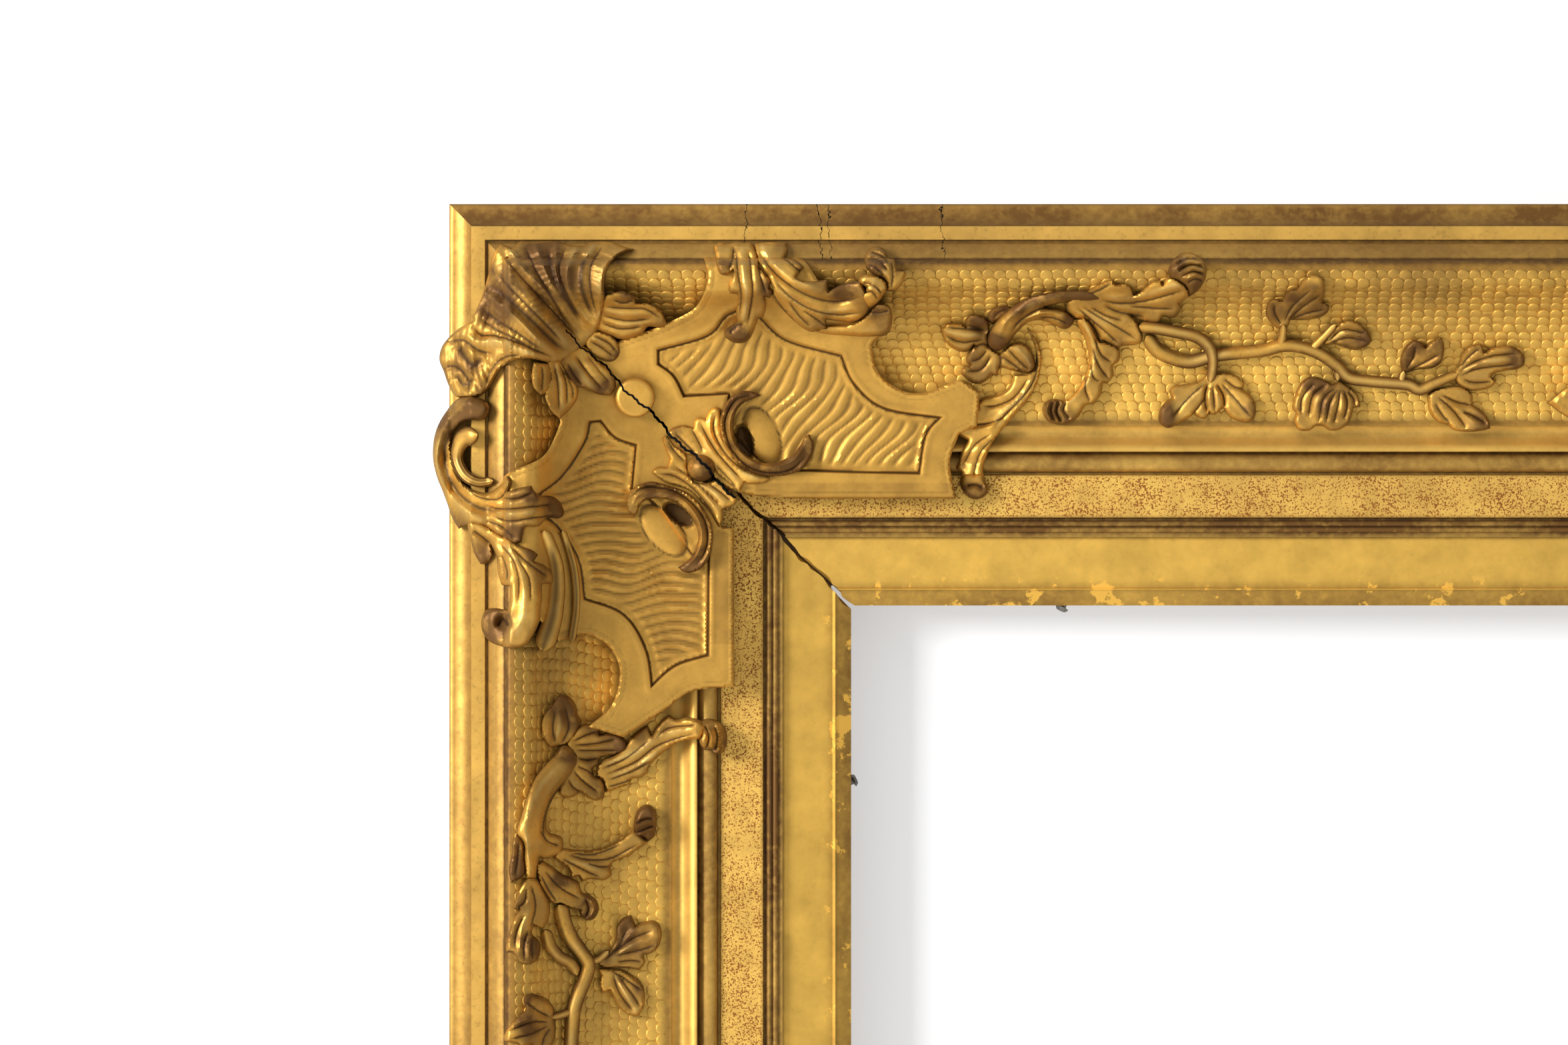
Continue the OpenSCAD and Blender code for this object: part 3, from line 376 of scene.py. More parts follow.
# ---------------------------------------------------------------- carved pieces, as read off the views
# Places stand as x,y and tops as x,y,height,brown. Each mass: view, outline, tops, grooves, ridges, then
# any named extras, as the function mass takes them
SHELL = [
    ("shell", [455,120, 520,150, 570,105, 640,108, 700,103, 790,105, 820,118, 880,130, 930,130, 975,110,
      1050,105, 1110,115, 1160,135, 1225,150, 1150,185, 1095,240, 1070,310, 1060,380, 1062,450, 1040,560,
      1010,630, 950,700, 880,760, 800,810, 730,812, 640,792, 560,797, 480,830, 430,880, 390,950, 330,1005,
      240,1015, 180,1000, 140,930, 115,860, 88,790, 100,720, 140,665, 190,620, 240,590, 290,570, 300,530,
      330,460, 350,410, 380,300, 400,220, 430,150],
     [480,140,4.5,0.4, 700,140,4,1, 880,150,4.5,0.6, 1100,150,5,0.5, 560,330,5,0.8, 800,350,4,1,
      1000,350,5.5,0.6, 420,520,5,1, 700,560,5,0.7, 850,700,3,0.6, 980,600,3.5,0.5, 380,360,4,0.9,
      420,700,7,0.4, 600,730,5,0.35, 780,790,3,0.4, 250,780,8.5,1, 150,760,8,0.5, 230,960,8,0.5,
      350,940,7,0.7, 300,620,5.5,0.4],
     [(9, 1.8, [720,140, 770,300, 830,430, 920,570]),
      (4, 1.6, [470,190, 600,340, 720,470, 850,610, 920,680]),
      (8, 1.9, [390,360, 520,460, 650,580, 760,690, 840,750]), (9, 1.6, [960,190, 925,300, 940,420, 990,540]),
      (6, 1.5, [335,490, 440,570, 560,645, 700,745]), (4, 1.4, [590,130, 680,300, 770,460, 860,620]),
      (4, 1.3, [830,130, 805,280, 850,430, 930,580]), (4, 1.4, [1050,130, 990,250, 985,400, 1015,540]),
      (4, 1.5, [430,290, 550,420, 690,560, 820,700]), (4, 1.2, [320,545, 430,620, 560,685, 700,770]),
      (5, 1.4, [130,690, 230,680, 330,740, 420,760]), (5, 1.4, [110,850, 180,830, 260,900, 270,990]),
      (3, 1.8, [290,590, 340,650, 420,655, 540,692, 680,750, 770,785]),
      (10, 2.6, [200,700, 250,790, 300,830, 350,780]), (7, 2, [190,880, 240,940, 300,900]),
      (4, 1.4, [360,960, 400,860, 470,790, 600,770])],
     [(5, 2.6, [480,115, 600,280, 690,365, 760,450, 840,550, 930,660]),
      (5, 2.4, [365,405, 450,470, 560,560, 680,680, 760,750]),
      (5, 2.2, [900,140, 862,240, 850,340, 880,450, 940,540, 990,600]),
      (6, 1.8, [1190,150, 1110,200, 1055,300, 1045,420, 1030,540, 990,620]),
      (10, 1.6, [420,250, 540,390, 680,520, 800,640, 880,720]),
      (6, 1.4, [240,640, 330,690, 450,690, 600,740, 760,790]), (4, 1.5, [650,110, 725,290, 805,450, 890,610]),
      (4, 1.5, [780,110, 785,290, 840,450, 915,600]), (4, 1.3, [1000,130, 940,240, 935,400, 980,540])],
     {"ripple": (860, 740, 8.5, 0.42), "edge": 5}),
    ("shell", [1060,440, 1100,415, 1160,408, 1232,430, 1240,470, 1330,480, 1390,520, 1422,590, 1380,606,
      1310,600, 1270,640, 1160,672, 1090,650, 1010,620, 1030,540],
     [1080,450,5,0.4, 1180,430,5.5,0.9, 1180,560,5,0.3, 1400,580,3.5,0.6, 1040,590,3,0.3, 1250,640,3.5,0.5],
     [(3, 1.2, [1060,490, 1180,500, 1300,505, 1390,560]), (3, 1.2, [1050,540, 1180,568, 1330,560]),
      (3, 1.2, [1040,580, 1150,615, 1280,600]), (3, 1.4, [1110,450, 1170,470, 1235,450])],
     [(4, 0.7, [1060,515, 1180,530, 1340,525]), (4, 0.7, [1050,565, 1170,595, 1300,580])], {}),
    ("shell", [930,670, 1000,628, 1060,640, 1110,665, 1140,715, 1136,770, 1090,802, 1020,782, 960,730],
     [960,680,3,0.3, 1080,720,4.5,0.4, 1120,770,4,0.8],
     [(3, 1.1, [965,680, 1050,730, 1110,780]), (3, 1.1, [990,650, 1080,695, 1130,750])],
     [(3, 0.6, [980,665, 1060,710, 1125,765])], {}),
    ("shell", [880,730, 940,715, 1010,790, 1080,842, 1112,885, 1118,950, 1090,998, 1020,992, 930,955, 880,950,
      850,900, 800,800, 830,770],
     [900,760,3,0.3, 1000,850,6,0.2, 1090,970,5,1, 860,880,4.5,0.9, 840,800,3.5,0.5],
     [(3, 1.2, [890,770, 960,870, 1050,970]), (3, 1.4, [840,810, 880,880, 930,945]),
      (3, 0.8, [950,760, 1020,850, 1090,930])],
     [(4, 0.8, [880,790, 930,880, 990,960])], {}),
    ("shell", [730,800, 800,795, 850,880, 902,955, 895,1025, 850,1090, 800,1137, 750,1090, 718,1000, 745,900,
      740,850],
     [770,820,3,0.3, 810,950,5.5,0.3, 800,1110,3.5,0.5],
     [(3, 1.1, [765,820, 790,940, 795,1090]), (3, 1.1, [795,815, 835,930, 840,1060]),
      (3, 0.9, [820,850, 870,960, 870,1030])],
     [(3, 0.5, [780,820, 812,940, 820,1080])], {}),
    ("shell", [655,815, 740,820, 757,900, 745,975, 695,1002, 652,955, 645,880],
     [690,840,4,0.4, 700,950,4.5,0.6],
     [(3, 1.2, [700,830, 705,900, 700,985])],
     [], {}),
]
CRESCENTS = [
    ("heart", [395,350, 440,320, 500,308, 550,325, 560,285, 585,265, 625,270, 650,225, 680,203, 712,215,
      715,300, 735,400, 780,480, 850,555, 930,595, 1020,615, 960,645, 860,650, 850,640, 820,705, 760,650,
      690,590, 640,520, 520,480, 470,440],
     [450,350,3.5,0.7, 550,430,3.5,0.3, 640,280,4,0.2, 700,440,4,0.2, 850,600,3.5,0.2, 780,650,3.5,0.3,
      980,620,2.5,0.4],
     [(3, 1.1, [440,350, 520,430, 570,480]), (3, 1.1, [540,330, 580,400, 610,470]),
      (3, 1.2, [585,280, 640,390, 700,480, 790,580, 850,640]),
      (3, 1.2, [685,230, 670,330, 710,430, 780,520, 900,605]), (3, 0.9, [680,540, 740,600, 810,680])],
     [(4, 0.8, [650,250, 655,360, 710,450, 820,565, 930,620]),
      (4, 0.7, [600,330, 640,430, 720,520, 800,610])], {}),
    ("heart", [370,385, 395,360, 440,425, 510,480, 515,560, 560,645, 640,645, 690,620, 760,690, 808,740,
      790,772, 720,800, 722,850, 708,902, 650,820, 600,760, 540,700, 480,672, 400,650, 350,620, 308,585,
      340,553, 395,552, 415,510, 390,450],
     [400,420,3,0.8, 450,500,3,0.3, 380,600,3.5,0.4, 560,660,4,0.2, 700,720,3.5,0.3, 700,850,3.5,0.4],
     [(3, 1.1, [400,400, 450,470, 510,530]), (3, 1.1, [340,590, 450,610, 560,690, 690,850]),
      (3, 1.1, [430,540, 540,620, 640,710, 720,790]), (3, 1, [640,650, 710,700, 780,760])],
     [(4, 0.8, [380,570, 480,590, 590,680, 700,810]), (4, 0.6, [560,640, 660,690, 740,770])], {}),
    ("heart", [947,135, 920,120, 870,108, 820,115, 770,145, 730,200, 706,280, 713,370, 745,450, 800,520,
      870,570, 950,602, 1050,607, 1130,592, 1200,555, 1247,475, 1252,410, 1226,360, 1200,380, 1180,420,
      1140,470, 1080,510, 1020,528, 950,526, 880,495, 822,440, 792,370, 787,300, 802,230, 842,182, 890,158],
     [930,130,3,1, 790,180,7,1, 750,300,7.5,0.9, 830,480,7.5,1, 980,560,7.5,1, 1130,540,7,1, 1230,400,3,1],
     [(2.5, 1.8, [900,130, 800,165, 740,270, 745,370, 790,470, 880,555, 1000,588, 1130,565, 1225,470])],
     [(2.5, 1.2, [910,140, 820,180, 770,270, 772,370, 820,460, 910,530, 1020,552, 1130,520, 1215,410])],
     {"edge": 4}),
    ("heart", [163,745, 180,700, 230,660, 300,638, 360,648, 430,668, 510,700, 590,768, 642,850, 667,930,
      662,1010, 640,1090, 590,1150, 530,1173, 490,1165, 463,1140, 510,1108, 558,1050, 580,960, 563,890,
      520,822, 450,762, 370,738, 290,742, 242,772, 226,820, 200,836, 170,810],
     [190,790,3,0.6, 260,690,6.5,0.9, 420,710,7.5,1, 560,800,7.5,0.9, 620,930,7.5,0.8, 600,1060,7,0.9,
      500,1150,3,1],
     [(2.5, 1.8, [190,740, 250,680, 350,675, 450,700, 550,770, 620,870, 635,970, 615,1060, 560,1145])],
     [(2.5, 1.2, [190,790, 230,722, 310,700, 410,712, 500,755, 570,840, 602,930, 597,1010, 560,1090,
          500,1145])], {"edge": 4}),
]
BALL = [1052, 702, 21, 30]
DISC = [954, 598, 29, 22]
SIDE_SCROLL = [
    ("scroll", [390,215, 375,260, 340,283, 270,283, 215,305, 180,350, 160,410, 162,490, 182,570, 228,645,
      300,692, 380,702, 440,672, 500,608, 522,645, 500,700, 560,680, 640,665, 662,700, 700,722, 755,725,
      800,760, 822,820, 800,852, 730,855, 680,900, 610,905, 590,950, 585,990, 545,1000, 500,978, 440,950,
      410,930, 350,900, 250,895, 205,915, 165,850, 140,780, 110,700, 73,610, 50,510, 53,400, 80,310, 130,230,
      190,163, 250,143, 320,150, 370,175],
     [330,220,10,0.9, 230,200,10,0.8, 120,320,10,0.8, 75,480,9.5,0.4, 150,500,5.5,0.2, 190,700,6.5,0.2,
      120,680,8.5,0.4, 300,800,7.5,0.2, 200,880,6,0.7, 470,700,6.5,0.3, 600,700,7.5,1, 600,820,7,0.5,
      790,810,4.5,0.9, 550,970,4.5,1, 420,860,7,0.5],
     [(8, 2.6, [200,310, 135,400, 122,500, 150,620, 220,720, 330,790, 470,820]),
      (3, 1.3, [350,780, 480,800, 620,790, 780,770]), (3, 1.3, [400,840, 520,870, 660,850, 800,835]),
      (4, 1.5, [370,870, 460,900, 560,980]), (3, 1.8, [470,735, 560,740, 655,705]),
      (3, 1, [240,660, 330,730, 450,740, 510,660])],
     [(5, 1.8, [350,215, 250,190, 165,260, 105,370, 80,480, 92,590, 150,700, 240,800, 340,860]),
      (4, 1.4, [200,330, 168,420, 172,520, 212,620, 290,700, 400,730, 490,660]),
      (4, 0.9, [380,800, 520,830, 660,815, 780,800])], {"edge": 8}),
    ("scroll", [250,860, 350,880, 420,930, 490,965, 560,1005, 600,1020, 650,1040, 680,1065, 655,1100,
      720,1130, 765,1190, 758,1230, 700,1235, 702,1310, 692,1390, 690,1440, 650,1530, 600,1590, 520,1600,
      440,1590, 380,1560, 345,1500, 345,1430, 370,1385, 430,1375, 505,1390, 522,1330, 520,1242, 460,1238,
      440,1170, 432,1080, 400,1010, 408,1070, 375,1112, 335,1118, 302,1060, 285,1000, 268,930],
     [320,900,6.5,0.3, 360,1060,5,0.8, 480,1020,6.5,0.2, 650,1060,5.5,0.8, 730,1180,5,0.7, 580,1150,7,0.2,
      600,1350,7,0.2, 480,1180,5,0.5, 560,1520,8.5,0.5, 390,1450,9,0.9, 470,1450,5,1, 660,1400,7,0.2],
     [(4, 1.5, [290,920, 360,970, 400,1010]), (3, 1.2, [440,990, 530,1080, 570,1200, 570,1350]),
      (3, 1.2, [520,1010, 600,1090, 740,1200]), (3, 1.1, [560,1080, 630,1200, 640,1340]),
      (3, 1.1, [460,1060, 500,1150, 500,1220]), (6, 3, [440,1490, 470,1440, 520,1480])],
     [(4, 0.9, [480,1000, 560,1110, 600,1240, 600,1400, 560,1520])], {}),
]
SIDE_TUBE = [722,654,15,30, 700,660,11,28, 690,686,9,26, 701,712,9,22, 722,724,8,18, 745,722,7,14]
CREST_LEAF = [
    ("crest", [125,125, 165,113, 200,120, 250,113, 300,115, 345,120, 378,190, 385,250, 420,300, 457,340,
      450,380, 467,412, 450,442, 420,432, 428,480, 412,545, 385,552, 365,600, 330,672, 285,694, 230,687,
      188,655, 190,625, 225,595, 262,570, 255,520, 270,450, 262,420, 220,415, 212,380, 242,285, 215,302,
      180,310, 155,290, 140,230],
     [170,140,5.5,0.3, 180,280,5,0.9, 300,160,7,0.1, 240,390,6,0.5, 320,380,7.5,0.3, 440,400,5.5,0.8,
      400,520,5.5,0.5, 300,540,7.5,0.4, 260,650,9,1],
     [(3, 1.3, [250,140, 268,300, 285,430, 270,560]), (3, 1.3, [325,150, 345,300, 350,420, 320,600]),
      (3, 1.5, [215,290, 238,200, 240,130]), (3, 1.3, [378,240, 400,330, 430,425]),
      (4, 2, [215,640, 270,590, 300,600])],
     [(4, 0.9, [285,160, 305,340, 320,450, 295,580])], {}),
    ("crest", [360,120, 440,110, 545,115, 555,160, 540,200, 600,222, 648,265, 600,325, 660,348, 785,338,
      787,405, 870,365, 975,345, 1010,420, 1030,490, 1000,540, 940,572, 850,570, 778,560, 775,620, 730,622,
      690,630, 630,600, 560,540, 500,480, 455,430, 470,400, 440,320, 400,260, 370,190],
     [420,130,6.5,0.1, 520,140,5.5,0.6, 620,265,5.5,0.7, 560,300,6.5,0.2, 770,370,5,0.7, 880,410,3.5,1,
      700,500,7.5,0.2, 900,520,7.5,0.3, 750,600,6,0.6, 520,450,6.5,0.2, 990,470,8.5,0.6, 430,340,6.5,0.3],
     [(4, 1.9, [385,150, 430,240, 520,335, 640,415, 760,455, 880,460, 985,430]),
      (3, 1.2, [470,330, 560,430, 700,510, 850,535, 1000,520]), (3, 1.1, [560,460, 620,540, 690,605]),
      (3, 1.1, [460,400, 510,480, 600,575]), (3, 1, [640,510, 720,560, 770,600]),
      (3, 1, [520,200, 600,270, 700,340])],
     [(4, 1, [400,130, 470,240, 580,330, 740,395]), (4, 0.9, [520,400, 620,475, 760,520, 950,505])], {}),
    ("crest", [1008,180, 1040,145, 1080,136, 1122,165, 1137,205, 1170,213, 1183,285, 1240,290, 1222,350,
      1180,392, 1130,397, 1118,335, 1060,312, 1010,270, 1000,220],
     [1060,170,8.5,0.6, 1080,250,9.5,0.9, 1150,300,8,0.4, 1200,340,5,0.3],
     [(3, 1.7, [1010,215, 1080,228, 1130,290]), (3, 1.5, [1010,260, 1060,270, 1110,320]),
      (3, 1.3, [1030,170, 1100,195, 1135,250]), (3, 1.2, [1150,230, 1160,310, 1150,390])],
     [(3, 1, [1020,190, 1090,212, 1130,270]), (3, 1, [1015,240, 1070,250, 1120,310])], {"edge": 8}),
    ("crest", [968,330, 1010,308, 1060,313, 1112,345, 1127,385, 1102,432, 1062,482, 1020,497, 990,472,
      970,440, 1000,410, 1010,382, 972,360],
     [1000,330,8,0.2, 1080,380,10.5,0.6, 1040,450,9,0.3],
     [(3, 1.8, [985,355, 1045,372, 1100,420]), (3, 1.6, [1000,420, 1040,410, 1075,455])],
     [(3, 1.5, [980,335, 1050,345, 1115,395]), (3, 1.5, [1008,395, 1045,390, 1090,440])], {"edge": 8}),
    ("crest", [700,625, 780,600, 900,592, 980,560, 1030,515, 1060,480, 1110,474, 1150,500, 1162,550, 1150,620,
      1110,650, 1000,657, 880,650, 780,642],
     [800,620,3.5,0.2, 1000,620,5.5,0.3, 1130,580,7,0.6, 1090,490,7.5,1],
     [(3, 1.5, [1040,520, 1090,525, 1145,510])],
     [(3, 0.8, [1000,560, 1060,530, 1140,530])], {}),
]
RAIL_SPRAY = [
    ("flower", [180,440, 182,400, 200,378, 250,373, 305,400, 320,440, 315,500, 330,560, 385,600, 440,545,
      490,535, 540,550, 582,610, 592,670, 560,702, 520,702, 450,690, 405,675, 385,680, 372,727, 340,715,
      310,750, 260,770, 210,755, 158,712, 165,680, 212,662, 188,640, 192,605, 232,550, 200,580, 150,582,
      90,550, 50,500, 36,450, 80,423, 150,423],
     [80,470,6,0.4, 180,500,7,0.4, 250,400,6.5,0.9, 300,480,5,0.7, 220,610,7,0.7, 260,700,6,0.6,
      340,620,5,0.4, 460,590,7,0.4, 560,660,7,0.7, 420,660,5,0.5],
     [(3, 1.5, [60,490, 160,530, 290,515]), (3, 1.2, [70,445, 180,455, 290,460]),
      (4, 2.2, [180,430, 240,445, 310,470]), (4, 2.2, [230,560, 290,540, 330,560]),
      (3, 1.4, [190,700, 280,685, 335,600]), (3, 1.2, [210,640, 265,625, 310,570]),
      (3, 1.4, [430,570, 500,640, 560,695]), (3, 1.4, [395,610, 460,655, 520,700]),
      (4, 1.6, [385,600, 390,640, 380,690])],
     [(4, 0.9, [70,468, 170,490, 280,488]), (3, 0.9, [480,560, 540,620, 575,680])], {"edge": 6}),
    ("flower", [310,400, 318,358, 360,328, 420,322, 455,342, 400,395, 335,425],
     [380,360,5,0.9],
     [(3, 1, [335,400, 370,360, 430,335])],
     [], {}),
    ("flower", [312,520, 328,458, 380,388, 450,328, 540,278, 640,252, 750,238, 880,240, 980,265, 1085,300,
      1060,330, 960,312, 860,304, 740,304, 640,330, 740,348, 790,373, 818,402, 792,442, 750,452, 690,425,
      620,403, 545,415, 495,460, 460,500, 430,545, 380,578, 330,562],
     [370,540,10,1, 400,450,11.5,0.5, 480,350,12,0.9, 640,280,11,1, 850,265,9,1, 1050,310,6,0.9,
      560,390,9.5,0.4, 700,385,9,0.3, 790,420,7.5,0.9],
     [(3, 2, [440,480, 500,405, 600,345, 700,325, 820,315]), (2.5, 1.2, [600,385, 700,395, 780,430])],
     [(4, 1.2, [370,520, 410,420, 500,345, 620,305, 760,285, 900,290]), (4, 1, [520,400, 620,368, 760,375])],
     {"edge": 11}),
    ("flower", [760,300, 880,240, 950,203, 1020,176, 1040,203, 1110,203, 1142,235, 1150,262, 1190,243,
      1250,193, 1300,180, 1312,205, 1345,168, 1400,178, 1462,230, 1472,272, 1420,312, 1432,340, 1400,387,
      1330,382, 1312,412, 1280,422, 1190,400, 1145,375, 1190,430, 1218,505, 1190,540, 1130,547, 1092,552,
      1075,562, 1030,540, 990,520, 965,522, 930,450, 880,400, 820,390, 770,350],
     [900,270,7.5,0.5, 1010,200,6,0.3, 1120,240,6,0.5, 1280,220,7,0.2, 1420,240,8.5,0.3, 1380,350,6.5,0.6,
      1250,400,5.5,0.5, 1180,500,7,0.6, 1000,430,7.5,0.3, 950,480,6,0.4, 860,350,7.5,0.3, 1080,540,6,0.7],
     [(3, 1.4, [960,290, 1080,310, 1220,295, 1340,265, 1440,235]), (3, 1.1, [880,262, 950,235, 1020,195]),
      (3, 1.1, [1130,325, 1250,335, 1390,340]), (4, 2, [980,320, 1060,355, 1140,372, 1230,385]),
      (3, 1.3, [820,330, 910,400, 1010,480, 1085,545]), (3, 1.3, [850,325, 970,395, 1090,460, 1190,520]),
      (3, 1.1, [900,330, 1000,380, 1100,410]), (3, 1.1, [860,370, 920,430, 975,510])],
     [(4, 0.9, [1000,275, 1150,280, 1290,245, 1410,205]), (4, 0.8, [850,345, 960,430, 1040,500]),
      (4, 0.8, [900,350, 1030,425, 1150,490])], {}),
    ("flower", [1343,130, 1370,70, 1420,25, 1480,18, 1532,50, 1562,110, 1557,180, 1520,240, 1475,272,
      1448,215, 1400,182, 1358,165],
     [1400,90,10,0.9, 1480,60,11,0.3, 1480,140,12.5,0.5, 1510,220,9,0.8],
     [(2.5, 1.8, [1385,95, 1450,60, 1535,65]), (2.5, 1.8, [1395,130, 1470,95, 1550,110]),
      (2.5, 1.8, [1415,165, 1480,135, 1552,150]), (2.5, 1.8, [1450,200, 1500,175, 1545,190])],
     [(2.5, 1.5, [1385,75, 1450,42, 1520,45]), (2.5, 1.5, [1390,112, 1460,78, 1545,88]),
      (2.5, 1.5, [1405,148, 1475,115, 1552,130]), (2.5, 1.5, [1435,182, 1495,155, 1550,172])],
     {"edge": 12}),
    ("flower", [815,402, 870,383, 912,430, 960,520, 1000,530, 1055,550, 1087,580, 1082,640, 1050,662,
      1052,720, 1022,762, 990,765, 980,830, 940,882, 890,897, 850,960, 800,1002, 730,1007, 668,985, 638,930,
      653,880, 700,858, 770,863, 820,830, 870,760, 900,680, 905,600, 880,510, 840,440],
     [850,410,6.5,0.3, 930,550,7,0.3, 1050,620,5.5,0.6, 1020,730,5.5,0.6, 930,700,7.5,0.2, 900,850,7,0.4,
      820,880,8,0.2, 700,900,10,1, 760,970,9.5,0.8, 660,940,8,0.7],
     [(3, 1.2, [930,500, 975,600, 1045,650]), (3, 1.2, [925,560, 960,660, 1030,750]),
      (3, 1.1, [915,650, 930,730, 975,760]), (3, 1.1, [895,720, 885,800, 915,880]),
      (3, 2, [700,870, 685,930, 710,995]), (3, 2, [735,870, 715,930, 750,1000]),
      (3, 1.4, [775,870, 760,930, 800,980])],
     [(4, 1.1, [880,430, 935,540, 938,640, 895,760, 820,850, 760,890]),
      (2.5, 1.2, [670,890, 660,935, 685,985]), (2.5, 1.2, [718,870, 700,930, 730,998])], {}),
    ("flower", [540,450, 592,510, 627,600, 622,700, 592,800, 540,880, 470,960, 400,1040, 342,1120, 312,1190,
      292,1260, 300,1330, 327,1380, 302,1430, 240,1447, 190,1420, 158,1360, 165,1290, 133,1270, 160,1180,
      200,1100, 170,1085, 110,1050, 78,1000, 110,968, 190,960, 198,925, 250,915, 253,885, 300,850, 380,830,
      440,790, 467,715, 560,705, 592,670, 598,600, 580,530],
     [560,500,5.5,0.5, 600,650,6.5,0.3, 520,760,6.5,0.2, 330,870,5.5,0.3, 400,950,6.5,0.2, 150,1000,6,0.6,
      250,1040,6,0.3, 280,1150,6.5,0.2, 170,1240,5,0.5, 240,1290,7,0.2, 240,1400,8.5,1],
     [(3, 1.3, [605,560, 600,700, 550,810, 450,920, 350,1020]),
      (3, 1.2, [560,730, 470,850, 360,900, 275,900]), (3, 1.2, [430,960, 300,1005, 120,1005]),
      (3, 1.1, [340,1060, 240,1130, 170,1250]), (3, 1.1, [345,1090, 270,1180, 230,1320]),
      (4, 2, [190,1370, 240,1360, 300,1380])],
     [(4, 0.9, [580,740, 500,860, 400,950, 310,1070]), (4, 0.8, [400,980, 280,1040, 150,1030])], {}),
    ("vine", [432,700, 400,740, 330,768, 240,778, 203,810, 220,850, 180,880, 148,930, 148,992, 190,1027,
      232,1020, 280,990, 335,960, 347,942, 390,972, 422,970, 442,940, 470,952, 522,912, 570,970, 640,992,
      692,985, 712,940, 707,880, 670,830, 632,805, 642,770, 600,725, 530,705, 470,708],
     [320,800,5.5,0.3, 180,950,8,1, 300,930,6.5,0.2, 400,930,5,0.4, 460,860,7,0.5, 560,760,5.5,0.4,
      600,860,6.5,0.2, 680,930,8,1, 640,980,6,0.4, 450,730,5,0.3],
     [(3, 1.4, [410,770, 310,860, 220,970]), (3, 1.2, [415,850, 380,900, 342,945]),
      (3, 2.2, [430,760, 412,850, 428,940]), (3, 2.2, [480,770, 520,840, 528,910]),
      (3, 1.3, [455,780, 466,860, 468,935]), (3, 1.3, [500,760, 590,860, 680,965]),
      (3, 1.1, [520,740, 590,790, 640,800])],
     [(4, 0.8, [380,800, 290,880, 190,960]), (4, 0.8, [520,790, 620,900, 670,970])], {"edge": 6}),
    ("vine", [830,450, 780,410, 753,360, 765,300, 800,283, 842,295, 870,240, 920,230, 960,170, 1010,150,
      1062,175, 1082,250, 1075,300, 1122,320, 1112,360, 1060,390, 980,402, 900,402, 882,445],
     [800,340,6,0.7, 900,300,6.5,0.8, 1010,220,9,0.7, 1090,340,5.5,0.7, 860,420,5,0.5, 1020,180,8.5,0.2],
     [(3, 1.3, [860,420, 900,330, 1000,230]), (3, 1.3, [875,410, 960,330, 1060,260]),
      (3, 1.3, [850,430, 805,370, 795,310]), (3, 1.2, [890,400, 990,365, 1100,340])],
     [(4, 0.7, [870,400, 930,310, 1020,220])], {"edge": 6}),
    ("vine", [1090,542, 1130,480, 1190,420, 1250,403, 1310,428, 1362,480, 1382,520, 1350,556, 1290,574,
      1220,556, 1170,540, 1120,548],
     [1130,520,5,0.3, 1230,450,6.5,0.5, 1360,520,7.5,0.9, 1270,550,5.5,0.8],
     [(3, 1.3, [1120,525, 1210,460, 1345,480]), (3, 1.3, [1130,535, 1240,505, 1365,530])],
     [(4, 0.8, [1125,530, 1230,485, 1350,505])], {"edge": 6}),
    ("vine", [1205,755, 1160,770, 1110,745, 1040,726, 980,760, 945,830, 928,910, 950,940, 938,990, 970,1040,
      1030,1042, 1072,1012, 1110,1017, 1150,1042, 1210,1037, 1262,990, 1287,910, 1327,905, 1312,840,
      1262,790],
     [1060,760,6.5,0.9, 980,880,6,0.5, 1000,1000,5.5,0.5, 1120,900,9,0.8, 1200,900,9,0.5, 1290,850,6,0.6,
      1200,1010,6,0.6],
     [(3, 1.4, [1180,790, 1105,860, 1080,1000]), (3, 1.4, [1190,800, 1145,880, 1120,1005]),
      (3, 1.4, [1205,800, 1190,900, 1165,1010]), (3, 1.4, [1220,800, 1245,880, 1225,990]),
      (3, 1.5, [1130,770, 1045,840, 1020,970]), (3, 1.2, [1060,760, 985,850, 975,960]),
      (3, 1.3, [1245,810, 1285,860, 1290,900])],
     [], {"edge": 6}),
    ("end", [560,640, 548,560, 570,490, 620,448, 662,458, 690,492, 720,458, 772,428, 802,470, 803,530,
      790,580, 740,612, 650,622, 600,637],
     [600,500,6.5,1, 640,580,6,0.7, 770,500,7,0.9],
     [(3, 1.4, [580,620, 620,550, 630,480]), (3, 1.4, [590,630, 680,585, 780,530])],
     [], {"edge": 6}),
    ("end", [860,652, 900,580, 912,530, 960,480, 1020,466, 1042,522, 1100,490, 1180,478, 1240,498, 1282,540,
      1287,590, 1250,617, 1180,627, 1120,642, 1090,660, 1127,690, 1080,732, 980,747, 900,712],
     [900,660,5.5,0.4, 980,540,6,0.6, 1100,560,7,0.4, 1260,560,7.5,0.9, 1080,700,5.5,0.4],
     [(3, 1.3, [890,640, 980,580, 1100,540, 1240,530]), (3, 1.3, [900,660, 1000,620, 1150,600, 1255,590]),
      (3, 1.2, [920,680, 1000,700, 1100,690]), (3, 1.2, [890,620, 950,550, 1020,490])],
     [(4, 0.8, [920,640, 1040,580, 1200,560])], {"edge": 6}),
    ("end", [715,770, 760,740, 860,718, 930,728, 982,770, 987,830, 1032,860, 1082,920, 1092,972, 1040,987,
      960,992, 880,982, 840,950, 780,932, 728,870],
     [760,780,5.5,0.4, 900,760,6,0.4, 960,800,5.5,0.5, 1040,930,7.5,0.8, 860,930,6,0.4],
     [(3, 1.4, [770,780, 870,870, 950,975]), (3, 1.3, [790,770, 890,815, 985,835]),
      (3, 1.2, [755,820, 800,890, 850,945]), (3, 1.6, [920,870, 990,900, 1070,950])],
